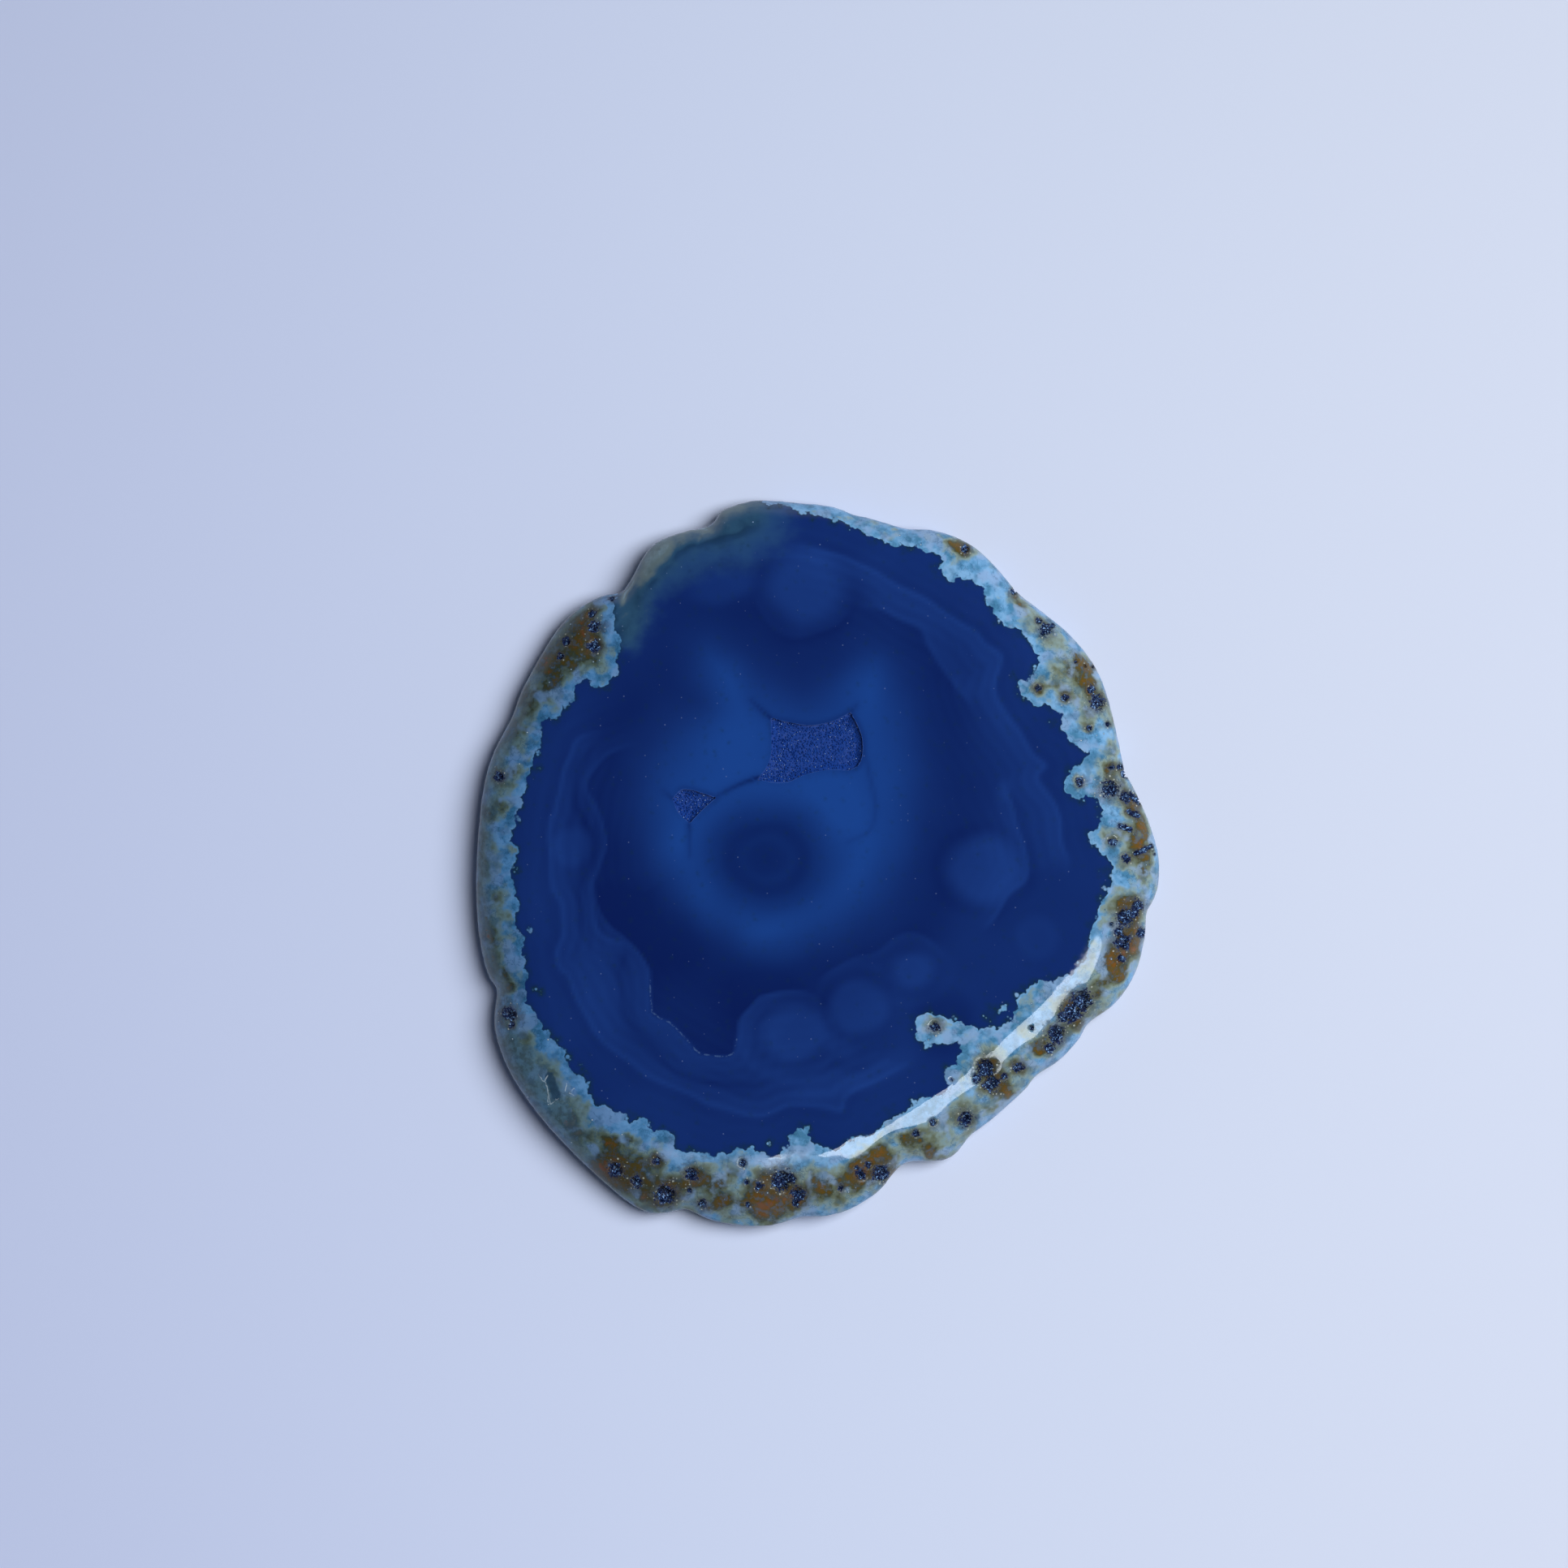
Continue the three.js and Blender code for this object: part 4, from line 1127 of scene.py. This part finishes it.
def makeAgateMaterial():
    material, tree, stoneShader = newMaterial("dyedAgate")
    where = millimetres(tree)
    x, y, z = put(tree, "SeparateXYZ", {"Vector": where}).outputs
    rim, edge, hollow, clear = (stored(tree, name + "Depth") for name in ("rim", "edge", "hollow", "clear"))
    tone, halo, seamAndShade, wisp, stain = (stored(tree, name) for name in ("tone", "halo", "seamAndShade", "wisp", "stain"))

    # the blue agate
    blue = blend(tone, agate["navy"], agate["veil"])
    blue = blend(halo, blue, agate["bright"])
    # dark seams, and the painted shade round the hollows
    blue = blend(times(seamAndShade, 0.75), blue, agate["navy"])

    # the almost clear edge with its wisps
    unrest = minus(cloud(where, 2.0, 3.0, 0.55), 0.5)
    inner = plus(minus(clear, rise(y, 36, 31, 0.0, 2.6)), times(unrest, 4.0))
    blue = blend(rise(inner, -5.5, -0.5, 0.0, 0.80), blue, agate["clearBlue"])
    # painted light: paler towards the outer edge, where light comes through the thin clear stone, and paler
    # along the wisps
    paler = plus(rise(edge, 3.2, 0.4, 0.05, 0.45), times(wisp, 0.9))
    paler = plus(paler, times(unrest, 1.1))
    glass = blend(rise(paler, -0.45, 0.25), agate["clearDark"], agate["clearTeal"])
    glass = blend(rise(paler, 0.25, 1.0), glass, agate["clearGrey"])
    glass = blend(rise(paler, 1.0, 1.5), glass, agate["clearPale"])
    wavy = plus(clear, times(unrest, 1.6))
    blue = blend(rise(wavy, -1.6, 1.1, 0.0, 0.92), blue, glass)

    # dust, and a dotted line where one growth stopped sharply
    dust = strew(where, *agate["dustSpecks"])
    dust = times(dust["Mask"], rise(dust["Kind"], 0.1, 1.0, 0.12, 0.75))
    blue = blend(dust, blue, agate["dust"])
    points = curveThrough(growth["dottedFront"], 2)
    points -= growth["warp"] * shifts(points, 6, 3)
    points = points.tolist()
    dotted = rise(gapToLines(where, list(zip(points, points[1:]))), 0.15, 0.04)
    dotted = times(dotted, rise(cloud(where, 0.45, 2.0, 0.6), 0.46, 0.62, 0.0, 0.16))
    blue = blend(dotted, blue, agate["glint"])

    # the rind: its inner edge is scalloped where crystals grew into the agate
    broad, fine, grit = (cloud(where, *agate[name]) for name in ("broad", "fine", "grit"))
    patchy = cloud(vectors("ADD", where, (31.0, 17.0, 5.0)), *agate["patchy"])
    jag = times(minus(0.45, cells(where, 1.3)["Distance"]), 1.25)
    jag = plus(jag, times(minus(0.45, cells(where, 0.45)["Distance"]), 0.45))
    inRind = plus(rim, jag)
    fringe = rise(patchy, 0.34, 0.60, 0.25, 0.95)
    shade = times(rise(inRind, -1.0, 0.0), times(fringe, 0.6))
    shade = larger(shade, times(rise(inRind, -0.35, -0.1), fringe))
    blue = blend(shade, blue, agate["rimShade"])

    # how far the rind has turned from milky blue to rust: more with depth and where iron stained it
    turned = plus(rise(inRind, 0.6, 3.6, 0.0, 0.40), times(stain, 0.66))
    lip = times(rise(edge, 1.5, 0.2, 0.0, 0.24), rise(x, -34, -24))
    turned = minus(turned, plus(lip, rise(inRind, 0.55, 0.05, 0.0, 0.30)))
    turned = uneven(turned, (broad, 1.7), (patchy, 0.9), (fine, 0.32), (grit, 0.15))
    turned = plus(turned, times(minus(fine, 0.5), rise(turned, 0.6, 1.0, 0.0, 1.3)))
    milky = rise(inRind, 0.6, 0.0, 0.0, 0.05)
    milky = uneven(milky, (broad, -0.6), (patchy, 0.7), (fine, 0.3), (grit, 0.1))
    rind = blend(rise(milky, -0.12, 0.02), agate["turquoise"], agate["sky"])
    rind = blend(rise(milky, -0.02, 0.16), rind, agate["milk"])
    for low, high, name in agate["rustSteps"]:
        rind = blend(rise(turned, low, high), rind, agate[name])
    ash = times(rise(fine, 0.50, 0.38, 0.0, 0.45), rise(turned, 0.55, 0.80))
    rind = blend(ash, rind, agate["ash"])
    fresh = rise(turned, 0.92, 0.50, 0.06, 1.0)
    for offset, size, low, high, strength, name in agate["quartzClouds"]:
        share = rise(cloud(vectors("ADD", where, offset), size), low, high, 0.0, strength)
        rind = blend(times(share, fresh), rind, agate[name])
    veins = calc("ABSOLUTE", minus(cloud(where, 1.5, 4.0, 0.6), 0.5))
    veins = times(rise(veins, 0.035, 0.0), rise(patchy, 0.56, 0.44, 0.1, 0.42))
    rind = blend(veins, rind, agate["tealVein"])

    # glassy at the lower left, painted shade all along the left, the side turned away from the key lamp, and
    # redder rust there
    away = vectors("DISTANCE", vectors("MULTIPLY", where, (1, 1, 0)), (-36.0, -27.0, 0.0))
    glassy = times(rise(away, 12, 5), rise(uneven(inRind, (patchy, 5.0)), 2.0, 3.6, 0.0, 0.7))
    thin = times(rise(x, -24, -32, 0.0, 0.55), rise(y, 24, 12, 0.15, 1.0))
    thin = times(thin, rise(uneven(edge, (fine, 3.0)), 2.6, 1.0))
    skinColour = blend(rise(fine, 0.38, 0.6), agate["skinDark"], agate["skin"])
    rind = blend(larger(glassy, thin), rind, skinColour)
    # painted shade: the rind darkens towards the left, away from the key lamp
    rind = blend(rise(x, 8, -34), rind, blend(1.0, rind, agate["leftPaintedShade"], "MULTIPLY"))
    ember = times(rise(turned, 1.08, 1.45, 0.0, 0.85), rise(x, -22, -28))
    rind = blend(ember, rind, agate["ember"])

    # cavities: dark, with blue grains, and the stone round them soiled
    grain = put(tree, "SeparateColor", {"Color": cells(where, 0.18)["Color"]}).outputs["Red"]
    ragged = uneven(stored(tree, "pitReach"), (fine, 2.2), (grit, 1.5))
    rind = blend(rise(ragged, 2.7, 1.0, 0.0, 0.60), rind, agate["soil"])
    cavity = blend(rise(grain, 0.40, 0.75), agate["cavity"], agate["cavityBlue"])
    # painted glints on a share of the grains
    cavity = blend(rise(grain, 0.78, 0.92), cavity, agate["glint"])
    inPit = rise(uneven(ragged, (grain, 0.5)), 1.12, 0.85)
    rind = blend(inPit, rind, cavity)

    # fine dark and white specks, and pale grains round the cavities
    rind = blend(times(strew(where, *agate["darkSpecks"])["Mask"], 0.7), rind, agate["tealVein"])
    rind = blend(times(strew(where, *agate["whiteSpecks"])["Mask"], 0.7), rind, agate["chalk"])
    atPit = times(rise(ragged, 2.4, 1.5), rise(inPit, 0.5, 0.0, 0.0, 0.8))
    rind = blend(times(strew(where, *agate["cavityGrains"])["Mask"], atPit), rind, agate["cream"])

    # cracks, bent a little, with a glassy spot beside them
    bent = put(tree, "TexNoise", {"Vector": where, "Scale": 1.6, "Detail": 2.0}).outputs["Color"]
    bent = vectors("SUBTRACT", bent, (0.5, 0.5, 0.5))
    bent = vectors("MULTIPLY_ADD", bent, (0.4, 0.4, 0.4), where)
    spot = rise(gapToLines(bent, glassySpot), 0.75, 0.40, 0.0, 0.75)
    rind = blend(spot, rind, agate["clearDark"])
    crack = times(rise(gapToLines(bent, cracks), 0.085, 0.02), rise(fine, 0.30, 0.62))
    rind = blend(times(crack, 0.5), rind, agate["chalk"])

    colour = blend(rise(inRind, -0.12, 0.10), blue, rind)
    # the hollows' walls take their paler colour, which is painted light
    wall = rise(hollow, -0.12, 0.05)
    feed(stoneShader.inputs["Base Color"], blend(wall, colour, agate["wall"]))

    # polish: glossy on the face and the shoulder, dull in cavities, on the hollows' walls, on the skin
    # below and on a worn stretch of the lower rind
    skin = rise(z, stone["skinTop"], stone["skinTop"] - 1.0)
    dull = larger(rise(ragged, 1.9, 1.1, 0.0, 0.40), times(skin, 0.38))
    worn = times(rise(x, 1.0, -3.0, 0.0, 0.20), rise(y, -33.0, -35.0))
    dull = larger(larger(dull, times(wall, 0.6)), times(worn, rise(inRind, 0.0, 0.6)))
    feed(stoneShader.inputs["Roughness"], plus(dull, agate["roughness"]))
    stoneShader.inputs["IOR"].default_value = agate["index"]
    height = times(grain, larger(inPit, times(skin, 0.6)))
    bump = put(tree, "Bump", {"Height": height, "Strength": agate["bump"], "Distance": agate["bumpDepth"]})
    feed(stoneShader.inputs["Normal"], bump.outputs[0])
    return material


agateSlice = makeStone()
print("stone shaped:", len(agateSlice.data.vertices), "points")
storeMarkings(agateSlice.data)
agateSlice.data.materials.clear()
agateSlice.data.materials.append(makeAgateMaterial())
print("markings and polish laid on the stone")

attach(agateSlice, "root")
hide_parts("slice")


# Crusts of quartz points in the hollows
druse = {
    "bedHeight": 5.84,
    "bedGrid": 0.25,
    "bedLumps": 0.07,
    "lumpSize": 0.7,
    "bank": (0.24, 0.8),  # how much higher it is along the walls, and how far that reaches
    "spacing": 0.30,  # of the crystals
    "stray": 0.35,  # how far one strays from its place, as a share of the spacing
    "wallGap": 0.03,
    "width": (0.11, 0.20),  # radius of a crystal
    "height": (0.19, 0.31),  # of a crystal
    "sunk": 0.09,  # how far its foot is below the bed
    "prism": 0.24,  # straight part of a crystal, as a share of its height
    "lean": 0.28,
    "topLimit": 6.44,
    "colour": (0.0072, 0.037, 0.208),
    "pale": (0.0110, 0.050, 0.245),
    # painted light: a paler blue for the crystals' feet, where shade falls between them
    "deep": (0.0088, 0.043, 0.230),
    # painted glints on some crystal tips
    "paintedGlint": (0.50, 0.72, 1.0),
    "roughness": 0.45,
    "specular": 0.2,
    "index": 1.54,
}


def makeCrystal():  # one six-sided point, 1 in radius and 1 high, standing on the ground
    bpy.ops.object.select_all(action="DESELECT")
    bpy.ops.mesh.primitive_cylinder_add(
        vertices=6, radius=1, depth=1, end_fill_type="NOTHING", location=(0, 0, 0.5)
    )
    crystal = bpy.context.active_object
    bpy.ops.object.transform_apply(location=True, rotation=True, scale=True)
    height = [v.co.z for v in crystal.data.vertices]
    bpy.ops.object.mode_set(mode="EDIT")
    bpy.ops.mesh.select_mode(type="VERT")
    bpy.ops.mesh.select_all(action="DESELECT")
    bpy.ops.object.mode_set(mode="OBJECT")
    crystal.data.vertices.foreach_set("select", [z > 0.5 for z in height])
    bpy.ops.object.mode_set(mode="EDIT")
    bpy.ops.transform.translate(value=(0, 0, druse["prism"] - 1))
    bpy.ops.mesh.extrude_region_move(TRANSFORM_OT_translate={"value": (0, 0, 1 - druse["prism"])})
    bpy.ops.mesh.merge(type="CENTER")
    bpy.ops.object.mode_set(mode="OBJECT")
    shape = np.array([v.co for v in crystal.data.vertices])
    faces = [list(f.vertices) for f in crystal.data.polygons]
    bpy.data.objects.remove(crystal)
    return shape, faces


def bankOf(places, line):
    height, reach = druse["bank"]
    return height * (1 - ease(0, reach, depthIn(places, line)))


def makeBed(name, line):  # the ground under the crystals
    low, high = line.min(0), line.max(0)
    wide, tall = high - low + 1
    bpy.ops.object.select_all(action="DESELECT")
    bpy.ops.mesh.primitive_grid_add(
        x_subdivisions=int(wide / druse["bedGrid"]), y_subdivisions=int(tall / druse["bedGrid"]), size=mm,
        location=((low[0] + high[0]) / 2 * mm, (low[1] + high[1]) / 2 * mm, druse["bedHeight"] * mm),
    )
    bed = bpy.context.active_object
    bed.name = name
    bed.data.name = name
    bed.scale = (wide, tall, 1)
    bpy.ops.object.transform_apply(location=True, rotation=True, scale=True)
    editSelected(bed, depthIn(faceCentres(bed.data), line) < -0.2)
    bpy.ops.mesh.delete(type="FACE")
    bpy.ops.object.mode_set(mode="OBJECT")
    places = readPlaces(bed.data)
    places[:, 2] += bankOf(places, line)
    for place in places:
        place[2] += druse["bedLumps"] * noise.noise(Vector(place) / druse["lumpSize"])
    places[:, 2] = np.minimum(places[:, 2], druse["topLimit"])
    writePlaces(bed.data, places)
    return bed


def scatterCrystals(line, shape, faces, seed):
    random = np.random.default_rng(seed)
    spacing = druse["spacing"]
    low, high = line.min(0), line.max(0)
    spots = []
    for i, y in enumerate(np.arange(low[1], high[1], spacing * 0.87)):
        row = np.arange(low[0] + (i % 2) * spacing / 2, high[0], spacing)
        spots.append(np.stack([row, np.full(len(row), y)], 1))
    spots = np.vstack(spots)
    spots += random.uniform(-druse["stray"], druse["stray"], spots.shape) * spacing
    spots = spots[depthIn(spots, line) > druse["wallGap"]]
    points, allFaces, kinds = [], [], []
    for (x, y), bank in zip(spots, bankOf(spots, line)):
        radius, height = random.uniform(*druse["width"]), random.uniform(*druse["height"])
        turn = random.uniform(0, math.pi)
        leanX, leanY = random.normal(0, druse["lean"], 2)
        c, s = math.cos(turn), math.sin(turn)
        u, v = shape[:, 0] * radius, shape[:, 1] * radius
        w = shape[:, 2] * height
        placed = np.stack([u * c - v * s + leanX * w, u * s + v * c + leanY * w, w], 1)
        placed += (x, y, bank + druse["bedHeight"] - druse["sunk"])
        placed[:, 2] = np.minimum(placed[:, 2], druse["topLimit"])
        first = len(points) * len(shape)
        points.append(placed)
        allFaces += [[first + i for i in face] for face in faces]
        kinds.append(np.full(len(shape), random.uniform(0, 1)))
    return np.vstack(points), allFaces, np.tile(shape[:, 2], len(points)), np.concatenate(kinds)


def makeDruseMaterial():
    material, tree, quartz = newMaterial("druzyQuartz")
    where = millimetres(tree)
    tip, kind = stored(tree, "tip"), stored(tree, "kind")
    colour = blend(rise(cloud(where, 2.2, 3.0, 0.6), 0.35, 0.68), druse["colour"], druse["pale"])
    # painted light: the crystals' feet are a paler blue, lifting the shade between them
    colour = blend(rise(tip, 0.75, 0.15), colour, druse["deep"])
    x, y, _ = put(tree, "SeparateXYZ", {"Vector": where}).outputs
    corner = calc("ABSOLUTE", minus(plus(x, y), 13.5))
    chance = plus(kind, rise(corner, 3.5, 6.5, 0.0, 0.14))  # more painted glints in two corners
    # painted glints: pale dots on the tips of some crystals
    lit = times(rise(tip, 0.70, 0.92), rise(chance, 0.80, 0.88))
    lit = times(lit, rise(cloud(where, 0.2, 1.0), 0.40, 0.56))
    feed(quartz.inputs["Base Color"], blend(lit, colour, druse["paintedGlint"]))
    quartz.inputs["Roughness"].default_value = druse["roughness"]
    quartz.inputs["Specular IOR Level"].default_value = druse["specular"]
    quartz.inputs["IOR"].default_value = druse["index"]
    return material


def makeCrust(node, name, seed):
    line = hollowLines[node]
    bed = makeBed(name, line)
    points, faces, tips, kinds = scatterCrystals(line, *makeCrystal(), seed)
    for value in ("tip", "kind"):
        storeValue(bed.data, value, np.zeros(len(bed.data.vertices)))
    joinNew(bed, name + "_points", points, faces, tip=tips, kind=kinds)
    bed.data.materials.clear()
    bed.data.materials.append(druzyQuartz)
    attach(bed, "root")
    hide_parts(node)


druzyQuartz = makeDruseMaterial()
makeCrust("large_hollow_crystals", "large_druse", 21)
makeCrust("small_hollow_crystals", "small_druse", 22)
print("crusts grown")
